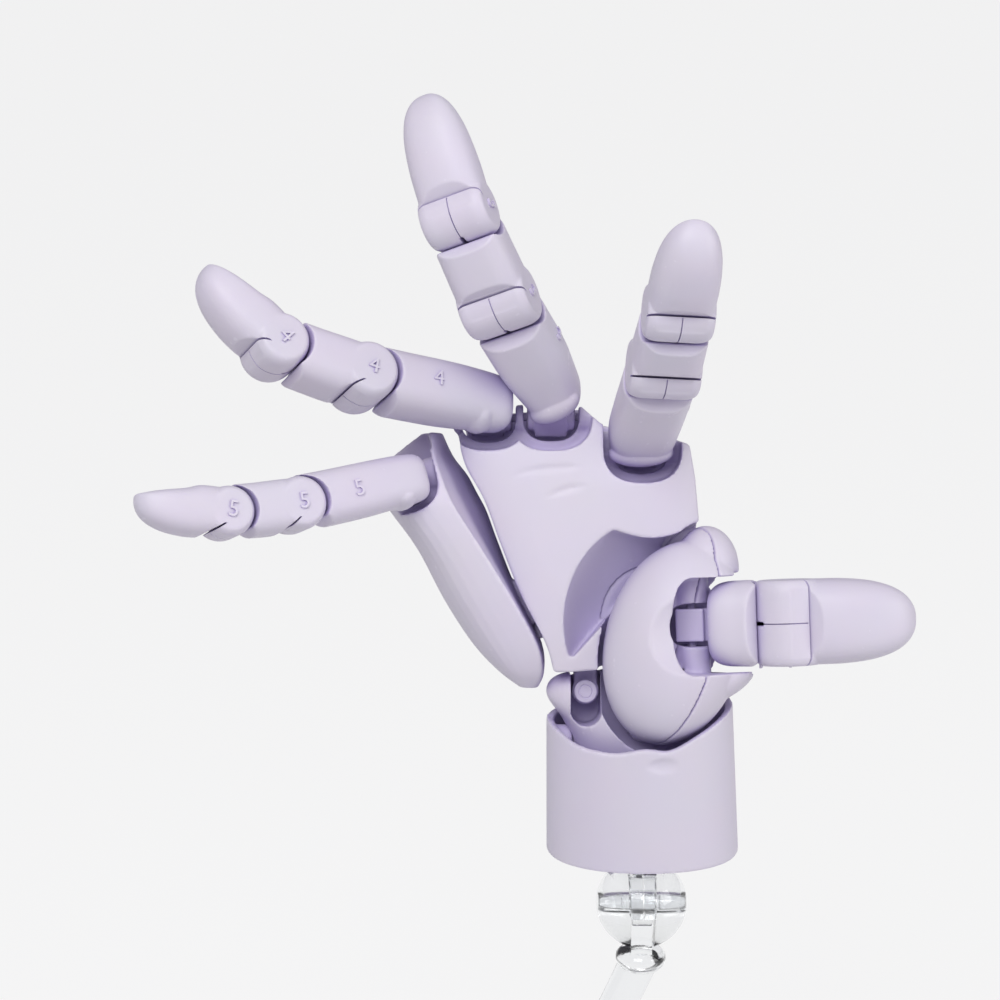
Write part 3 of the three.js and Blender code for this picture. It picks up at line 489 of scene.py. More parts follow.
def seam(piece, radius, half, end):
    """The hairline down the middle of a barrel's pad, and the sharp crease that ends the pad."""
    hair = cut(sector(radius + HAIR_DEPTH, SEAM_FROM, end, HAIR_HALF),
               rod(radius - HAIR_DEPTH, 2, sides=96))
    low, high = (-0.55 * radius, 0.27 * radius), (-0.85 * radius, 0.68 * radius)
    slit = slab([low, high, (high[0], high[1] - 0.85), (low[0], low[1] - 0.6)], -2 * half, 2 * half, ACROSS)
    return cut(piece, hair, slit)


def side_number(piece, finger, half, height):
    """The plain raised number on the side that faces the thumb."""
    place = Matrix(((0, 0, 1, half), (0, 1, 0, 0), (-1, 0, 0, height), (0, 0, 0, 1)))
    return joined(piece, numeral(DIGIT[finger], NUMBER_SIZE, NUMBER_DEPTH, place))


def finish_barrel(body, finger, joint, radius, half, back):
    """Cuts what a barrel needs into it, eases the piece, and adds its number and its seam."""
    tongue_slot(body, radius, back, CURL[joint])
    notch(body, radius, half)
    soften(body, FINE, 4)
    side_number(body, finger, half, 0)
    return seam(body, radius, half, SEAM_SPARE - PROW[joint] - back)


def phalanx(finger, taper, next_taper, length, back, next_back):
    """The middle piece of a finger, from its barrel up to the saddle of the fingertip."""
    half, radius = WIDTH[finger] * taper / 2, THICKNESS[finger] * taper / 2
    next_half, next_radius = WIDTH[finger] * next_taper / 2, THICKNESS[finger] * next_taper / 2
    shaft = stack([
        ring(-3.4, half - 1.2, radius - 2.8, radius - 1.2),
        ring(0.0, half, radius - 0.6, radius - 0.1),
        ring(length * 0.26, half, radius * 1.03, radius * 0.99),
        ring(length * 0.6, (half + next_half) / 2, next_radius * 1.04, next_radius * 1.02),
        ring(length * 0.86, next_half + 0.15, next_radius * 1.03, next_radius * 1.05),
        ring(length + 1.0, next_half + 0.35, next_radius + 0.2, next_radius + 0.5),
        ring(length + 5.0, next_half, next_radius, next_radius),
    ], corner=1.14)
    body = joined(barrel(radius, half), shaft)
    saddle(body, length, next_radius, next_half, next_back, PROW["distal"])
    return finish_barrel(body, finger, "middle", radius, half, back)


def fingertip(finger, taper, length, back):
    """The last piece, with a plump pad in front and a flat back that slopes to the tip."""
    half, radius = WIDTH[finger] * taper / 2, THICKNESS[finger] * taper / 2
    plump = 1.0 if finger != "thumb" else 0.96
    shaft = stack([
        ring(-3.4, half - 1.2, radius - 2.8, radius - 1.2),
        ring(0.0, half, radius - 0.6, radius - 0.2),
        ring(length * 0.22, half * 1.0, radius * 1.04 * plump, radius * 0.94),
        ring(length * 0.36, half * 1.0, radius * 1.1 * plump, radius * 0.9),
        ring(length * 0.44, half * 0.99, radius * 1.1 * plump, radius * 0.72),
        ring(length * 0.64, half * 0.94, radius * 1.06 * plump, radius * 0.56),
        ring(length * 0.82, half * 0.78, radius * 0.86, radius * 0.4),
        ring(length * 0.93, half * 0.56, radius * 0.62, radius * 0.22, y=radius * 0.04),
        ring(length * 0.985, half * 0.31, radius * 0.34, radius * 0.12, y=radius * 0.08),
        ring(length * 1.0, half * 0.12, radius * 0.12, radius * 0.06, y=radius * 0.1),
    ], corner=1.1, levels=3)
    body = joined(barrel(radius, half), shaft)
    joint = "middle" if finger == "thumb" else "distal"
    return finish_barrel(body, finger, joint, radius, half, back)


def root_piece(finger, length, drop, swings, next_taper, next_back):
    """The first piece, folded over its knuckle's tongue, with a slot as wide as it swings."""
    half, radius = WIDTH[finger] / 2, THICKNESS[finger] / 2
    root = half * ROOT_SHARE[finger]
    next_half, next_radius = WIDTH[finger] * next_taper / 2, THICKNESS[finger] * next_taper / 2
    shaft = stack([
        ring(-drop, root * 0.6, radius * 0.68, radius * 0.62),
        ring(-drop * 0.92, root * 0.78, radius * 0.84, radius * 0.76),
        ring(-drop * 0.6, root * 0.96, radius * 0.94, radius * 0.88),
        ring(0.0, root * 1.02, radius * 0.97, radius * 0.94),
        ring(length * 0.16, (root + half) / 2, radius * 0.97, radius * 0.97),
        ring(length * 0.34, half, radius * 1.03, radius * 0.99),
        ring(length * 0.66, (half + next_half) / 2, next_radius * 1.04, next_radius * 1.02),
        ring(length * 0.88, next_half + 0.15, next_radius * 1.03, next_radius * 1.05),
        ring(length + 1.0, next_half + 0.35, next_radius + 0.2, next_radius + 0.5),
        ring(length + 5.0, next_half, next_radius, next_radius),
    ], corner=1.12)
    if finger != "thumb":
        pad = Matrix.Translation((0, -0.64 * radius, ROOT_FOLD[finger] - 3.2))
        joined(shaft, ball((root * 0.98, 0.45 * radius, 3.5),
                           place=pad @ Matrix.Rotation(-0.16, 4, "Y")))
    saddle(shaft, length, next_radius, next_half, next_back, PROW["middle"])
    slot_half = SPLAY_TONGUE_HALF + SWING_ROOM
    neck = SPLAY_TONGUE_RADIUS - 0.3
    paths = [block((-neck, -slot_half, -30), (neck, slot_half, 0), Matrix.Rotation(turn, 4, "Y"))
             for turn in swings]
    cut(shaft, joined(rod(SPLAY_TONGUE_RADIUS + SWING_ROOM, slot_half, axis="Y", sides=48), *paths))
    soften(shaft, FINE, 5)
    return side_number(shaft, finger, half - 0.1, length * 0.5)


def knuckle_block(barrel_half, reach):
    """The squared knuckle on its barrel, with the flat tongue that the root swings on."""
    neck = SPLAY_TONGUE_RADIUS - 0.6
    body = rod(BARREL_RADIUS, barrel_half, sides=64, edge=0.7)
    square = block((-neck, -3.6, -BARREL_RADIUS), (neck, BARREL_RADIUS, BARREL_RADIUS))
    tongue = joined(block((-neck, -SPLAY_TONGUE_HALF, 0), (neck, SPLAY_TONGUE_HALF, reach)),
                    rod(SPLAY_TONGUE_RADIUS, SPLAY_TONGUE_HALF, axis="Y", centre=(0, 0, reach), sides=64))
    return soften(joined(body, square, tongue), FINE, 3)


# Cups

LUG_RADIUS = 4.2
BARREL_REACH = 5.8
CUP_SIDE_GAP = 1.1
CUP_FRONT_GAP = 1.0


def channel(half, reach, start, end, place):
    """A channel through Y, round below and open above."""
    def soft(value):
        return math.copysign(abs(value) ** 0.8, value)

    steps = 32
    turns = [math.pi * i / steps for i in range(steps + 1)]
    outline = [(half * soft(math.cos(t)), -reach * soft(math.sin(t))) for t in turns]
    return slab([(half, 30.0), *outline, (-half, 30.0)], start, end, place)


def cup_for(finger, half, back, pin_half, front_reach, carrier):
    """The room of a finger's root: narrow between the lugs of the pin, wide and round in front."""
    place = carrier.inverted() @ seat_place(finger)
    wide = WIDTH[finger] / 2 + CUP_SIDE_GAP
    ahead = channel(wide, front_reach, -30, -2.6, place)
    overhead = block((-wide - 0.6, -4, 0), (wide + 0.6, back, 30), place)
    open_room = cut(joined(ahead, overhead), rod(LUG_RADIUS, 2 * wide, sides=48, place=place))
    pin_hole = rod(PIN_RADIUS + 0.2, pin_half + 0.2, sides=24, place=place)
    return joined(channel(half, BARREL_REACH, -30, back, place), open_room, pin_hole)


# Palm

# The palm's outline in its own frame, from the wrist up the little finger's side and round.
LITTLE_EDGE = [(-7.5, 5), (-9.4, 11.8), (-15.3, 23.5), (-20, 35.3), (-23.6, 45), (-28, 53), (-29.8, 60)]
RING_LUG = [(-30.9, 61), (-30.9, 66.4)]
KNUCKLE_LINE = [(-15, 67), (-1, 66.6), (3.4, 62.6), (20.4, 59), (24.0, 57.8)]
THUMB_EDGE = [(25.3, 50), (26.2, 40)]
WRIST_EDGE = [(26.6, 28), (25.4, 14), (24.8, 0.6), (22.4, -1.4), (14.2, -1.4), (9.4, 4.6), (5, 5.8)]
LOBE_EDGE = [(-1.5, 41.6), (0.9, 40.0), (7.8, 37.2), (14.8, 35.8), (21.7, 37.2), (25.6, 40.4), (30, 44)]
FRONT_LEAN = 2.6
CUP_HALF = 6.5
CUP_BACK = 7.2
FINGER_PIN_HALF = 7.0
PARTING = 0.15
TONGUE_SLOT_HALF = 3.5
PLATE_EASE = 1.7
LIFE_LINE = [(-24, -13.6, 45.4), (-18, -13.4, 49.6), (-13, -13.4, 51.4), (-5, -13.5, 52.2),
             (4, -14.3, 52.8)]
HEAD_LINE = [(-12, -14.1, 44), (-5, -13.5, 47), (2.4, -14.2, 48.2)]
SIDE_LINE = [(-45, -8.6, 37.2), (-42, -13.4, 37.0), (-36, -14.9, 36.6), (-30, -15.2, 36.8)]
SADDLE_DROP = -9


def palm_envelope():
    return stack([
        ring(-7, 19, 8, 7.6, x=9),
        ring(-2, 20, 9, 8.4, x=8),
        ring(8, 22.5, 10.6, 9.4, x=6),
        ring(24, 26, 11.6, 10.4, x=3),
        ring(40, 28.4, 12.6, 11.0),
        ring(54, 30, 12.6, 11.6, x=-1.6),
        ring(63, 30, 10.4, 10.2, x=-2.4),
        ring(70, 29, 5.6, 6.0, x=-2.6),
    ], sides=16, corner=1.15, levels=3)


def thenar_place():
    """The tilted frame of the thumb base's round body, in the palm's frame."""
    return Matrix.Translation((20.5, -8.5, 11.5)) @ Matrix.Rotation(math.radians(14), 4, "Y")


def thenar_form(margin=0.0, swing=0.0):
    """The round body with its shoulder over the thumb's root and its lip under it."""
    body = ball((16.2 + margin, 13.8 + 1.3 * margin, 24 + margin), place=thenar_place(),
                around=96, along=64)
    shoulder = ball((7.6 + margin + swing, 8.4 + margin + swing, 10 + margin), (28, -6, 28.6))
    rising = Matrix.Translation((28, -9, 2.4)) @ Matrix.Rotation(math.radians(-20), 4, "Y")
    lip = ball((11.6 + margin, 7 + margin, 5.2 + margin), place=rising)
    return joined(body, shoulder, lip)


def fold_place():
    """The frame of the pin along the palm's edge, with its X along the pin."""
    along = PALM.inverted().to_3x3() @ axis("palm_side_fold")
    origin = PALM.inverted() @ point("palm_side_fold")
    across = Vector((0, 1, 0)).cross(along).normalized()
    return axes_place(Vector(origin), along, across) @ Matrix.Scale(1 / MM, 4)


def fold_room():
    place = fold_place()
    return joined(rod(3.0, 5.8, sides=48, place=place), rod(PIN_RADIUS + 0.2, 9.7, sides=24, place=place))


def palm_hollow():
    """The deep bowl between the palm's ridge and the thumb base, closed above by the index lobe."""
    bowl = joined(ball((20, 15, 24), (14.5, -13, 16), around=96, along=64),
                  ball((20, 15, 24), (29, -13, 16), around=96, along=64))
    below = [(-30, 44), (-4, 43), *flowing(LOBE_EDGE), (60, 44), (60, -30), (7.5, -30), (7.5, 20),
             (-3, 8.4), (-30, 8.4)]
    return common(bowl, slab(below, -60, 20))


def finger_cups():
    return [cup_for(f, CUP_HALF, CUP_BACK, FINGER_PIN_HALF, THICKNESS[f] / 2 + CUP_FRONT_GAP, PALM)
            for f in ("index", "middle", "ring")]


def palm_front():
    """The front shell, tilted a little, with three cups, the hollow and the two palm lines."""
    outline = [*flowing(LITTLE_EDGE), *KNUCKLE_LINE, *flowing(THUMB_EDGE), *WRIST_EDGE]
    tilt = Matrix.Rotation(math.radians(FRONT_LEAN), 4, "X")
    plate = slab(outline, -10.4, 24, tilt)
    ease_edges(plate, PLATE_EASE, 3)
    body = common(plate, palm_envelope())
    tongue_room = block((-TONGUE_SLOT_HALF, -2.7, -4), (TONGUE_SLOT_HALF, 3.7, 9.3))
    cut(body, block((-60, -PARTING, -60), (60, 60, 90)), palm_hollow(), *finger_cups(), fold_room(),
        thenar_form(1.2, 3.1), tongue_room)
    cut(body, cord_line(flowing(LIFE_LINE), 1.5), cord_line(flowing(HEAD_LINE), 1.45))
    return soften(body, COARSE, 4)


def palm_back():
    """The back shell, with a low cord to each knuckle and the tongue that the wrist holds."""
    outline = [*flowing(LITTLE_EDGE), *RING_LUG, *KNUCKLE_LINE, *flowing(THUMB_EDGE), *WRIST_EDGE]
    body = common(slab(outline, PARTING, 20), palm_envelope())
    cords = []
    for finger, spread in (("index", 4.5), ("middle", 0.5), ("ring", -3.5)):
        knuckle = (PALM.inverted() @ seat_place(finger)).translation
        path = [(spread * 0.6 + 4, 8.6, 12), ((knuckle.x + spread + 3) / 2, 10.2, 34),
                (knuckle.x, 10.6, knuckle.z - 6)]
        cords.append(cord_line(flowing(path), 1.9))
        cords.append(ball((5.4, 2.6, 6.0), (knuckle.x, 9.2, knuckle.z - 2.5)))
    body = joined(body, *cords)
    cut(body, palm_hollow(), *finger_cups(), fold_room(), thenar_form(1.2, 3.1))
    eye = 3.2
    tongue = joined(block((0.5 - eye, -2.4, 0), (eye - 0.5, 3.4, 9)), rod(eye, 2.9, "Y", (0, 0.5, 0)))
    body = joined(body, tongue)
    swivel = (PALM.inverted() @ point("thumb_spread"))
    cut(body, rod(BORE, 12, "Y", sides=32), rod(2.7, 30, "Y", swivel, sides=32))
    return soften(body, COARSE, 4)


def side_ring(z, outer, crest, inner, front, back):
    """Eight corners of one cross section of the flared shell."""
    return [(outer, (back - front) * 0.1, z), (outer * 0.7 + crest * 0.3, -front * 0.82, z),
            (crest - 1.2, -front, z), (crest + 0.5, -front * 0.86, z), (inner, back * 0.2, z),
            (inner - 0.4, back * 0.75, z), ((inner + outer) / 2, back, z),
            (outer + 1.8, back * 0.7, z)]


def side_shell():
    """The flared shell of the palm's little-finger side, smooth round and along."""
    stations = [
        side_ring(0.6, -15.2, -12, -11, 3, 3.4),
        side_ring(4.5, -20.4, -10.4, -9.6, 7, 6),
        side_ring(11, -26.4, -11.6, -10.4, 10, 7.6),
        side_ring(21.2, -33, -17, -15.2, 12.4, 8.8),
        side_ring(32.9, -39.2, -24, -20.2, 14, 9.6),
        side_ring(41.8, -45.6, -29.6, -23.8, 14.4, 9.8),
        side_ring(46.4, -48.8, -32, -26.2, 13.8, 9.6),
        side_ring(50.6, -49.6, -33.6, -28.4, 12.4, 9),
        side_ring(55, -45.4, -35, -31.4, 9.6, 7.6),
        side_ring(60.4, -39.6, -35.6, -33.6, 5.4, 4.6),
    ]
    tracks = [flowing([s[k] for s in stations], 5) for k in range(8)]
    rings = []
    for loop in zip(*tracks):
        round_trip = flowing([*loop[-2:], *loop, *loop[:2]], 4)
        rings.append(round_trip[8:8 + 32])
    return shell(rings)


def palm_side():
    """The little finger's side, cut clear of the palm, with its cup and the knuckle of its pin."""
    gap = 0.7
    edge = [(x - gap, z) for x, z in flowing(LITTLE_EDGE)]
    clear_of_palm = slab([(0, 0), (-7.5 - gap, 0), *edge, (0, 70)], -30, 30)
    body = cut(side_shell(), clear_of_palm)
    place = fold_place()
    body = joined(body, joined(rod(2.7, 5.5, sides=48, place=place),
                               block((-5.5, -1.6, 0), (5.5, 1.6, 5), place)))
    cut(body, rod(PIN_RADIUS + 0.2, 40, sides=24, place=place),
        cup_for("little", 5.2, 6.4, 5.8, THICKNESS["little"] / 2 + CUP_FRONT_GAP, PALM))
    cut(body, cord_line(flowing(SIDE_LINE), 0.8))
    return soften(body, COARSE, 4)


def thenar_half(front):
    """One half of the thumb base, parted by a slanting plane."""
    place = thenar_place()
    turn = place @ Matrix.Rotation(math.radians(36), 4, "Z")
    across = block((-PARTING if front else -FAR, -FAR, -FAR), (FAR if front else PARTING, FAR, FAR), turn)
    saddle_place = place @ Matrix.Translation((0, 0, SADDLE_DROP))
    room = rod(4.3, 3.7, "Z", sides=48, place=saddle_place)
    peg_rooms = [block((-2.8, 0, -2.8), (2.8, 30, 2.8),
                       saddle_place @ Matrix.Rotation(math.radians(t), 4, "Z"))
                 for t in range(-9, 46, 7)]
    body = cut(thenar_form(), across)
    cut(body, joined(room, *peg_rooms),
        cup_for("thumb", 5.0, 8.8, 7.6, 5.2, PALM), block((-FAR, -FAR, -FAR), (FAR, FAR, -13.6)))
    cut(body, ball((15, 8, 12.5), (25.5, -26.2, 14.5), around=96, along=64))
    return soften(body, MEDIUM, 5)


def thumb_saddle():
    """The barrel that the thumb base swings on, with its peg that swivels in the palm's back."""
    place = thenar_place() @ Matrix.Translation((0, 0, SADDLE_DROP))
    peg_end = 16.7
    body = joined(rod(4, 3.4, "Z", sides=48, edge=0.5, place=place),
                  rod(2.5, peg_end / 2, "Y", (0, peg_end / 2, 0), sides=48, place=place))
    return soften(body, FINE, 2)


# Wrist

BLOCK_CENTRE = 12.6
AXLE_DROP = 11.5
BOSS_RADIUS = 3.4
BOSS_INSET = 15.6
CUFF_LOW = -38.4
CUFF_WALL = 1.8
CUFF_LEAN = math.radians(14)


def wrist_block():
    """The block between hand and cuff, with the slot of the palm's tongue and its pin's bore."""
    x = BLOCK_CENTRE
    body = stack([
        ring(-22.5, 8.5, 3.4, 3.4, x=x), ring(-20.5, 11.4, 5.4, 5.4, x=x), ring(-17, 14.4, 8.6, 8.6, x=x),
        ring(-11, 16.2, 10.6, 10.6, x=x), ring(-7, 16.9, 11.0, 10.2, x=x - 0.5),
        ring(-4, 18.1, 10.9, 9.2, x=x - 1.7), ring(-1, 19.5, 10.3, 8.0, x=x - 2.6),
        ring(2.4, 19.0, 9.4, 7.2, x=x - 2.4),
        ring(4.4, 15.4, 7.2, 5.8, x=x - 2.4), ring(4.8, 8.0, 4.0, 3.6, x=x - 2.4),
    ], corner=1.05)
    half = TONGUE_SLOT_HALF
    slot = joined(block((-half, -30, -4.4), (half, 4.2, 20)),
                  rod(half, 17.1, "Y", (0, -12.9, -4.4), sides=48))
    outside = BOSS_INSET - GAP + 10
    bosses = [rod(BOSS_RADIUS + GAP, 10, centre=(x + side * outside, 0, -AXLE_DROP), sides=48)
              for side in (-1, 1)]
    lug_room = slab([(5, 20), (5.6, 1.8), (12.6, -3.8), (24, -3.8), (27, -1), (27, 20)], -30, 30)
    cut(body, slot, rod(BORE, 20, "Y", sides=32), rod(BORE, 40, centre=(0, 0, -AXLE_DROP), sides=32),
        *bosses, thenar_form(2.6, 3.1), lug_room)
    return soften(body, MEDIUM, 4)


def wrist_pin():
    """The pin with its round head, which has a fine circle pressed into it."""
    body = joined(rod(1.7, 5.6, "Y", (0, 2.2, 0), sides=48), rod(2.7, 1, "Y", (0, -3.8, 0), edge=0.3))
    bpy.ops.mesh.primitive_torus_add(major_radius=1.55, minor_radius=0.16, major_segments=64,
                                     minor_segments=10)
    ring_mark = new_piece(Matrix.Translation((0, -4.8, 0)) @ Matrix.Rotation(math.pi / 2, 4, "X"))
    return cut(body, ring_mark)


# The scalloped upper rim, seen from the front and from the back.
FRONT_RIM = [(-14, -4.6), (-9.4, -5.2), (-6.2, -6.6), (-1.6, -8.6), (6.3, -9.3), (13.2, -8.1), (18.9, -8.6),
             (25.7, -5.6), (33.2, -2.2), (42, 0.6)]
BACK_RIM = [(-14, -4.6), (-7, -6.2), (3, -7.6), (14, -8.0), (25, -6.4), (33.2, -2.2), (42, 0.6)]


def cuff_body(shrink, low, high):
    """The cuff's tapered oval, drawn past its ends so that they can be cut clean."""
    def at(height):
        share = (height - CUFF_LOW) / -CUFF_LOW
        half = (45.4 - 2.0 * share) / 2 - shrink
        return ring(height, half, 17 - shrink, 17 - shrink, x=13.8 - 1.2 * share)

    heights = [low - 6, low - 3, low, (2 * low + high) / 3, (low + 2 * high) / 3, high, high + 3, high + 6]
    body = stack([at(h) for h in heights], sides=16, corner=1.03, levels=3)
    return cut(body, block((-FAR, -FAR, low - 30), (FAR, FAR, low)),
               block((-FAR, -FAR, high), (FAR, FAR, high + 30)))


def wrist_cuff():
    """The hollow oval cuff, with two bosses inside for the axle and a shallow dent in front."""
    body = cuff_body(0, CUFF_LOW, 0)
    cut(body, cuff_body(CUFF_WALL, CUFF_LOW - 1, 1))
    height = -AXLE_DROP * math.cos(CUFF_LEAN)
    for side in (-1, 1):
        boss = rod(BOSS_RADIUS, 3, centre=(BLOCK_CENTRE + side * (BOSS_INSET + 3), 0, height), sides=48)
        joined(body, common(boss, cuff_body(0.4, CUFF_LOW, 0)))
    above = [(-40, 20), (-40, -4.2)]
    front = slab([*above, *flowing(FRONT_RIM), (60, 20)], -40, 0.2)
    back = slab([*above, *flowing(BACK_RIM), (60, 20)], -0.2, 40)
    cut(body, front, back, rod(BORE, BOSS_INSET + 2.6, centre=(BLOCK_CENTRE, 0, height), sides=32),
        ball((7.6, 1.6, 2.7), (20.6, -17.6, -12.0)))
    return soften(body, COARSE, 4)


def cuff_end_cap():
    """The plug in the cuff's lower end, with the bore for the stand's peg."""
    low = -38.0
    body = cuff_body(CUFF_WALL + GAP, low, low + 3)
    body = joined(body, rod(5.4, 4.5, "Z", (13.8, 0, low + 4.5), sides=64))
    return soften(cut(body, rod(3.3, 40, "Z", (13.8, 0, low), sides=48)), COARSE, 2)


# Stand, all clear

def stand_base():
    body = turned([(57.8, 0), (58.6, 0.35), (59, 1.2), (59, 4.6), (58.8, 5.3), (58.2, 6.0),
                   (57.2, 6.6), (56, 7)], 160)
    return cut(body, rod(5.3, 5, "Z", (0, 0, 6.6), sides=64))


def stand_post():
    body = turned([(4.4, 2), (5, 2.6), (5, 7.3), (10, 7.3), (10, 8.4), (9.6, 9.2), (8.6, 9.8), (8.1, 10.6),
                   (8, 12), (8, 26), (7.6, 27.6), (6.6, 28.8), (5, 29.6), (2, 29.8)], 64)
    return cut(body, block((-40, -2.8, 15.4), (40, 2.8, 60)), rod(BORE, 20, "Y", (0, 0, 23), sides=48))


def stand_arm():
    """The arm about its lower hinge, with its collar under the ball."""
    top = ARM.inverted() @ point("stand_head_tilt")
    collar = Vector((top.x, 0, top.z - 14.4))
    lean = Matrix.Rotation(math.atan2(collar.x, collar.z), 4, "Y")
    length = math.hypot(collar.x, collar.z)
    body = rod(4.5, (length - 10) / 2, "Z", (0, 0, (length + 10) / 2), place=lean)
    bead = turned([(3.6, -2.6), (4.7, -2.2), (5.6, -1.2), (6, 0), (5.9, 1.2), (5.2, 2.2), (4.2, 2.8)],
                  64)
    bead.data.transform(Matrix.Translation(collar))
    plate = 2.5
    body = joined(body, rod(6.4, plate, "Y", edge=0.5), block((-4, -plate, 0), (4, plate, 11), lean),
                  rod(5.5, 1.5, "Z", (0, 0, 12), edge=0.6, place=lean), bead,
                  rod(6, plate, "X", top, edge=0.5),
                  block((top.x - plate, -4, collar.z), (top.x + plate, 4, top.z)))
    return cut(body, rod(BORE, 20, "Y", sides=48), rod(BORE, 20, "X", top, sides=48))


def head_half(left):
    """Half of the clear ball. The right one carries the peg that the hand turns on."""
    radius = 10.9
    body = ball((radius, radius, radius), around=128, along=80)
    across = block((-PARTING if left else -FAR, -FAR, -FAR), (FAR if left else PARTING, FAR, FAR))
    slot = joined(block((-2.8, -FAR, -FAR), (2.8, FAR, 0)), rod(6.4, 2.8, "X"))
    cut(body, across, slot, rod(BORE, radius - 1.6, "X", sides=48))
    foot, peg_top = radius - 4, radius + 11
    grow = GAP if left else 0
    peg = rod(3 + grow, (peg_top - foot) / 2 + grow, "Z", (0, 0, (foot + peg_top) / 2),
              edge=0.0 if left else 0.5)
    return cut(body, peg) if left else joined(body, peg)


def stand_pin(half, along):
    return rod(1.7, half, along, sides=48, edge=0.3)


# Finishes

# Violet painted shade, mixed into the colour where ambient occlusion finds crevices, cups and hollows.
PAINTED_SHADE_TONE = (0.5, 0.44, 0.66)
# Paler tone for a painted highlight along sharp convex edges.
EDGE_HIGHLIGHT_TONE = (0.84, 0.8, 0.88)


def new_material(name):
    """A material with its node tree and its shader."""
    material = bpy.data.materials.new(name)
    material.use_nodes = True
    return material, material.node_tree, material.node_tree.nodes["Principled BSDF"]


def set_inputs(node, values):
    for name, value in values.items():
        node.inputs[name].default_value = value
    return node


def add_node(tree, kind, values=None, **settings):
    """A new node with its settings and the values of its inputs."""
    node = tree.nodes.new("ShaderNode" + kind)
    for name, value in settings.items():
        setattr(node, name, value)
    return set_inputs(node, values or {})


def noise(tree, values):
    """A cloudy pattern that stays with the piece."""
    node = add_node(tree, "TexNoise", values)
    tree.links.new(add_node(tree, "TexCoord").outputs["Object"], node.inputs["Vector"])
    return node


def mapped(tree, source, values):
    """One value spread over another range."""
    node = add_node(tree, "MapRange", values)
    tree.links.new(source, node.inputs["Value"])
    return node.outputs["Result"]


def mixed(tree, values, share=None, first=None, second=None, **settings):
    """Two colours mixed, each from its value or from the output given for it."""
    node = add_node(tree, "Mix", values, data_type="RGBA", **settings)
    for name, source in (("Factor", share), ("A", first), ("B", second)):
        if source is not None:
            tree.links.new(source, node.inputs[name])
    return node.outputs["Result"]


def bumped(tree, shader, height, strength, distance):
    bump = add_node(tree, "Bump", {"Strength": strength, "Distance": distance * MM})
    tree.links.new(height, bump.inputs["Height"])
    tree.links.new(bump.outputs["Normal"], shader.inputs["Normal"])


def plastic_finish(name, tone, rough):
    """Fine matte moulded plastic: a soft lavender, with painted violet shade in its crevices and hollows
    and a painted highlight along its sharp edges.
    """
    material, tree, shader = new_material(name)
    cloud = noise(tree, {"Scale": 55, "Detail": 3})
    grain = noise(tree, {"Scale": 2600, "Detail": 2})
    # Painted highlight: pointiness lightens the sharp convex edges towards a paler tone, as if light
    # catches them.
    edges = add_node(tree, "NewGeometry").outputs["Pointiness"]
    painted_edge_highlight = mapped(tree, edges, {"From Min": 0.57, "From Max": 0.7, "To Max": 0.3})
    # Painted shade: ambient occlusion darkens the colour towards violet in crevices, cups, the palm hollow
    # and between parts.
    shade = add_node(tree, "AmbientOcclusion", {"Distance": 15 * MM}, samples=8).outputs["AO"]
    lit = mapped(tree, shade, {"From Min": 0.25, "From Max": 0.9})
    painted_shade = mixed(tree, {"A": (*PAINTED_SHADE_TONE, 1), "B": (*tone, 1)}, share=lit)
    vary = mixed(tree, {"Factor": 0.06}, first=painted_shade, second=cloud.outputs["Color"], blend_type="MULTIPLY")
    highlighted_edges = mixed(tree, {"B": (*EDGE_HIGHLIGHT_TONE, 1)}, share=painted_edge_highlight, first=vary)
    tree.links.new(highlighted_edges, shader.inputs["Base Color"])
    polish = mapped(tree, cloud.outputs["Fac"], {"To Min": rough - 0.05, "To Max": rough + 0.05})
    tree.links.new(polish, shader.inputs["Roughness"])
    bumped(tree, shader, grain.outputs["Fac"], 0.12, 0.02)
    set_inputs(shader, {"Subsurface Weight": 0.12, "Subsurface Radius": (1.0, 0.9, 1.3),
                        "Subsurface Scale": 0.9 * MM, "Specular IOR Level": 0.42})
    return material


def clear_finish():
    """Clear polished plastic with faint flow lines."""
    material, tree, shader = new_material("clear_plastic")
    flow = noise(tree, {"Scale": 120}).outputs["Fac"]
    tree.links.new(mapped(tree, flow, {"To Min": 0.03, "To Max": 0.12}), shader.inputs["Roughness"])
    bumped(tree, shader, flow, 0.15, 0.1)
    set_inputs(shader, {"Base Color": (0.93, 0.94, 0.95, 1), "IOR": 1.5, "Transmission Weight": 1.0})
    return material


lavender = plastic_finish("lavender_plastic", (0.66, 0.62, 0.705), 0.5)
clear = clear_finish()
STAND_NODES = ("stand_base", "stand_post", "stand_arm_pin", "stand_arm", "stand_head_left",
               "stand_head_right", "stand_head_pin")


def dress(piece, material):
    piece.data.materials.clear()
    piece.data.materials.append(material)


for name, node in frame["nodes"].items():
    dress(node, clear if name in STAND_NODES else lavender)


def settle(piece, name, place, body, *nodes, finish=lavender, slot="hand_plastic"):
    """Puts a finished piece in its place on its body, instead of its solids."""
    piece.name = name
    piece.data.name = name
    piece.data.transform(place)
    select_only(piece)
    bpy.ops.object.shade_smooth_by_angle(angle=SHADED_SMOOTH)
    dress(piece, finish)
    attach(piece, body)
    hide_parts(*nodes)
    return piece


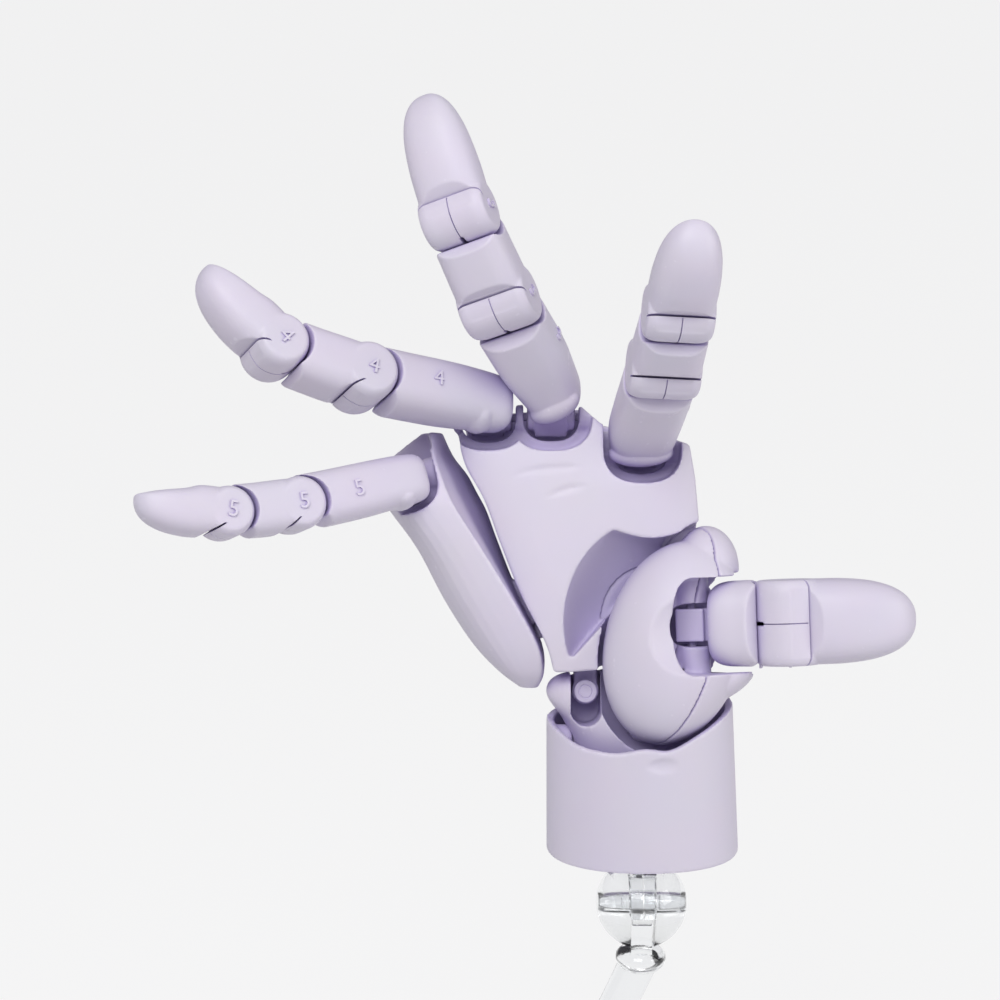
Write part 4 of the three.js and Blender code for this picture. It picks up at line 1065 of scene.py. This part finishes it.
def make_finger(finger):
    """All pieces of one finger, each bent and swung as the joints hold it at rest."""
    places = finger_places(finger)
    names = ["proximal", "middle", "distal"] if finger != "thumb" else ["proximal", "distal"]
    bends = [rest_bend(places[a][0], places[b][0]) for a, b in zip(names, names[1:])]
    backs = [bend - BACK_STOP for bend in bends]
    place, reach = places["knuckle"]
    settle(knuckle_block(BARREL_HALF[finger], reach), f"{finger}_knuckle_block", place,
           f"{finger}_knuckle", f"{finger}_knuckle")
    drop = reach - BARREL_RADIUS - 0.85
    place, length = places["proximal"]
    root = root_piece(finger, length, drop, splay_turns(finger, place), TAPER[1], backs[0])
    settle(root, f"{finger}_root", place, f"{finger}_proximal", f"{finger}_proximal")
    if finger != "thumb":
        place, length = places["middle"]
        settle(phalanx(finger, TAPER[1], TAPER[2], length, backs[0], backs[1]), f"{finger}_mid", place,
               f"{finger}_middle", f"{finger}_middle")
    place, length = places["distal"]
    last = len(names) - 1
    settle(fingertip(finger, TAPER[last], length, backs[-1]), f"{finger}_tip", place,
           f"{finger}_distal", f"{finger}_distal")


def make_palm():
    settle(palm_front(), "palm_front_shell", PALM, "palm", "palm_front")
    settle(palm_back(), "palm_back_shell", PALM, "palm", "palm_back")
    settle(palm_side(), "little_finger_side", PALM, "palm_side", "palm_side")
    settle(thenar_half(True), "thumb_base_outer", PALM, "thumb_base", "thumb_base_front")
    settle(thenar_half(False), "thumb_base_inner", PALM, "thumb_base", "thumb_base_back")
    settle(thumb_saddle(), "thumb_swing_saddle", PALM, "thumb_saddle", "thumb_saddle")


def make_wrist():
    settle(wrist_block(), "wrist_core", PALM, "wrist_block", "wrist_block")
    settle(wrist_pin(), "wrist_pivot", PALM, "wrist_block", "wrist_pin")
    settle(wrist_cuff(), "forearm_cuff", CUFF, "wrist_cuff", "wrist_cuff")
    settle(cuff_end_cap(), "cuff_plug", CUFF, "wrist_cuff", "cuff_end_cap")


def make_stand():
    look = {"finish": clear, "slot": "clear_plastic"}
    settle(stand_base(), "clear_base", GROUND, "root", "stand_base", **look)
    settle(stand_post(), "clear_post", GROUND, "stand_post", "stand_post", **look)
    settle(stand_pin(8, "Y"), "clear_arm_pin", ARM, "stand_post", "stand_arm_pin", **look)
    settle(stand_arm(), "clear_arm", ARM, "stand_arm", "stand_arm", **look)
    settle(head_half(True), "clear_ball_left", HEAD, "stand_head", "stand_head_left", **look)
    settle(head_half(False), "clear_ball_right", HEAD, "stand_head", "stand_head_right", **look)
    settle(stand_pin(8.9, "X"), "clear_head_pin", HEAD, "stand_head", "stand_head_pin", **look)


for finger in (*FINGERS, "thumb"):
    make_finger(finger)
make_palm()
make_wrist()
make_stand()


# Floor, light and camera

FLOOR_PALE = 0.95
FLOOR_SHARE = 0.9
HAND_MIDDLE = (0, 0, 0.19)


def either(tree, first, second):
    """One where a ray is of the first kind or the second."""
    most = add_node(tree, "Math", operation="MAXIMUM")
    tree.links.new(first, most.inputs[0])
    tree.links.new(second, most.inputs[1])
    return most.outputs["Value"]


def blended(tree, share, first, second):
    """Two shaders mixed by a share."""
    mix = add_node(tree, "MixShader")
    for spot, source in enumerate((share, first, second)):
        tree.links.new(source, mix.inputs[spot])
    return mix.outputs["Shader"]


def shown_pale(tree, surface, colour, share):
    """Lets the eye, reflections and clear plastic see a surface as a pale colour, in part."""
    pale = add_node(tree, "Emission", {"Color": (colour, colour, colour, 1)})
    ray = add_node(tree, "LightPath").outputs
    seen = either(tree, either(tree, ray["Is Camera Ray"], ray["Is Glossy Ray"]),
                  ray["Is Transmission Ray"])
    part = add_node(tree, "Math", {1: share}, operation="MULTIPLY")
    tree.links.new(seen, part.inputs[0])
    return blended(tree, part.outputs["Value"], surface, pale.outputs["Emission"])


def make_stage():
    bpy.ops.mesh.primitive_plane_add(size=40, location=(0, 0, 0))
    floor = bpy.context.object
    floor.name = "floor"
    material, tree, shader = new_material("pale_floor")
    set_inputs(shader, {"Base Color": (0.8, 0.8, 0.8, 1), "Roughness": 0.9})
    shown = shown_pale(tree, shader.outputs["BSDF"], FLOOR_PALE, FLOOR_SHARE)
    tree.links.new(shown, tree.nodes["Material Output"].inputs["Surface"])
    dress(floor, material)


def soft_light(name, place, size, power):
    """A soft box that faces the hand."""
    light = bpy.data.lights.new(name, "AREA")
    light.shape = "RECTANGLE"
    light.size, light.size_y = size
    light.energy = power
    lamp = linked(name, light)
    lamp.location = place
    lamp.rotation_euler = (Vector(HAND_MIDDLE) - Vector(place)).to_track_quat("-Z", "Y").to_euler()


def make_world():
    """A faint violet light from all round, seen by the eye as a pale backdrop."""
    world = bpy.data.worlds.new("studio")
    bpy.context.scene.world = world
    world.use_nodes = True
    tree = world.node_tree
    light = set_inputs(tree.nodes["Background"], {"Color": (0.86, 0.83, 0.98, 1), "Strength": 0.35})
    pale = add_node(tree, "Background", {"Color": (0.87, 0.87, 0.87, 1)})
    ray = add_node(tree, "LightPath").outputs
    seen = either(tree, ray["Is Camera Ray"], ray["Is Transmission Ray"])
    backdrop = blended(tree, seen, light.outputs["Background"], pale.outputs["Background"])
    tree.links.new(backdrop, tree.nodes["World Output"].inputs["Surface"])


def make_camera():
    camera = linked("camera", bpy.data.cameras.new("camera"))
    camera.location = (-4.7 * MM, -568.6 * MM, 343.6 * MM)
    camera.rotation_euler = Vector((0, 0.9703, -0.2419)).to_track_quat("-Z", "Y").to_euler()
    camera.data.lens = 91.9
    camera.data.sensor_width = 36
    camera.data.clip_start = 0.01
    bpy.context.scene.camera = camera


make_stage()
make_world()
soft_light("key", (-0.25, -0.75, 0.95), (0.7, 0.7), 9)
soft_light("side", (0.9, -0.35, 0.5), (0.5, 0.6), 3.5)
make_camera()
bpy.context.scene.view_settings.view_transform = "Standard"
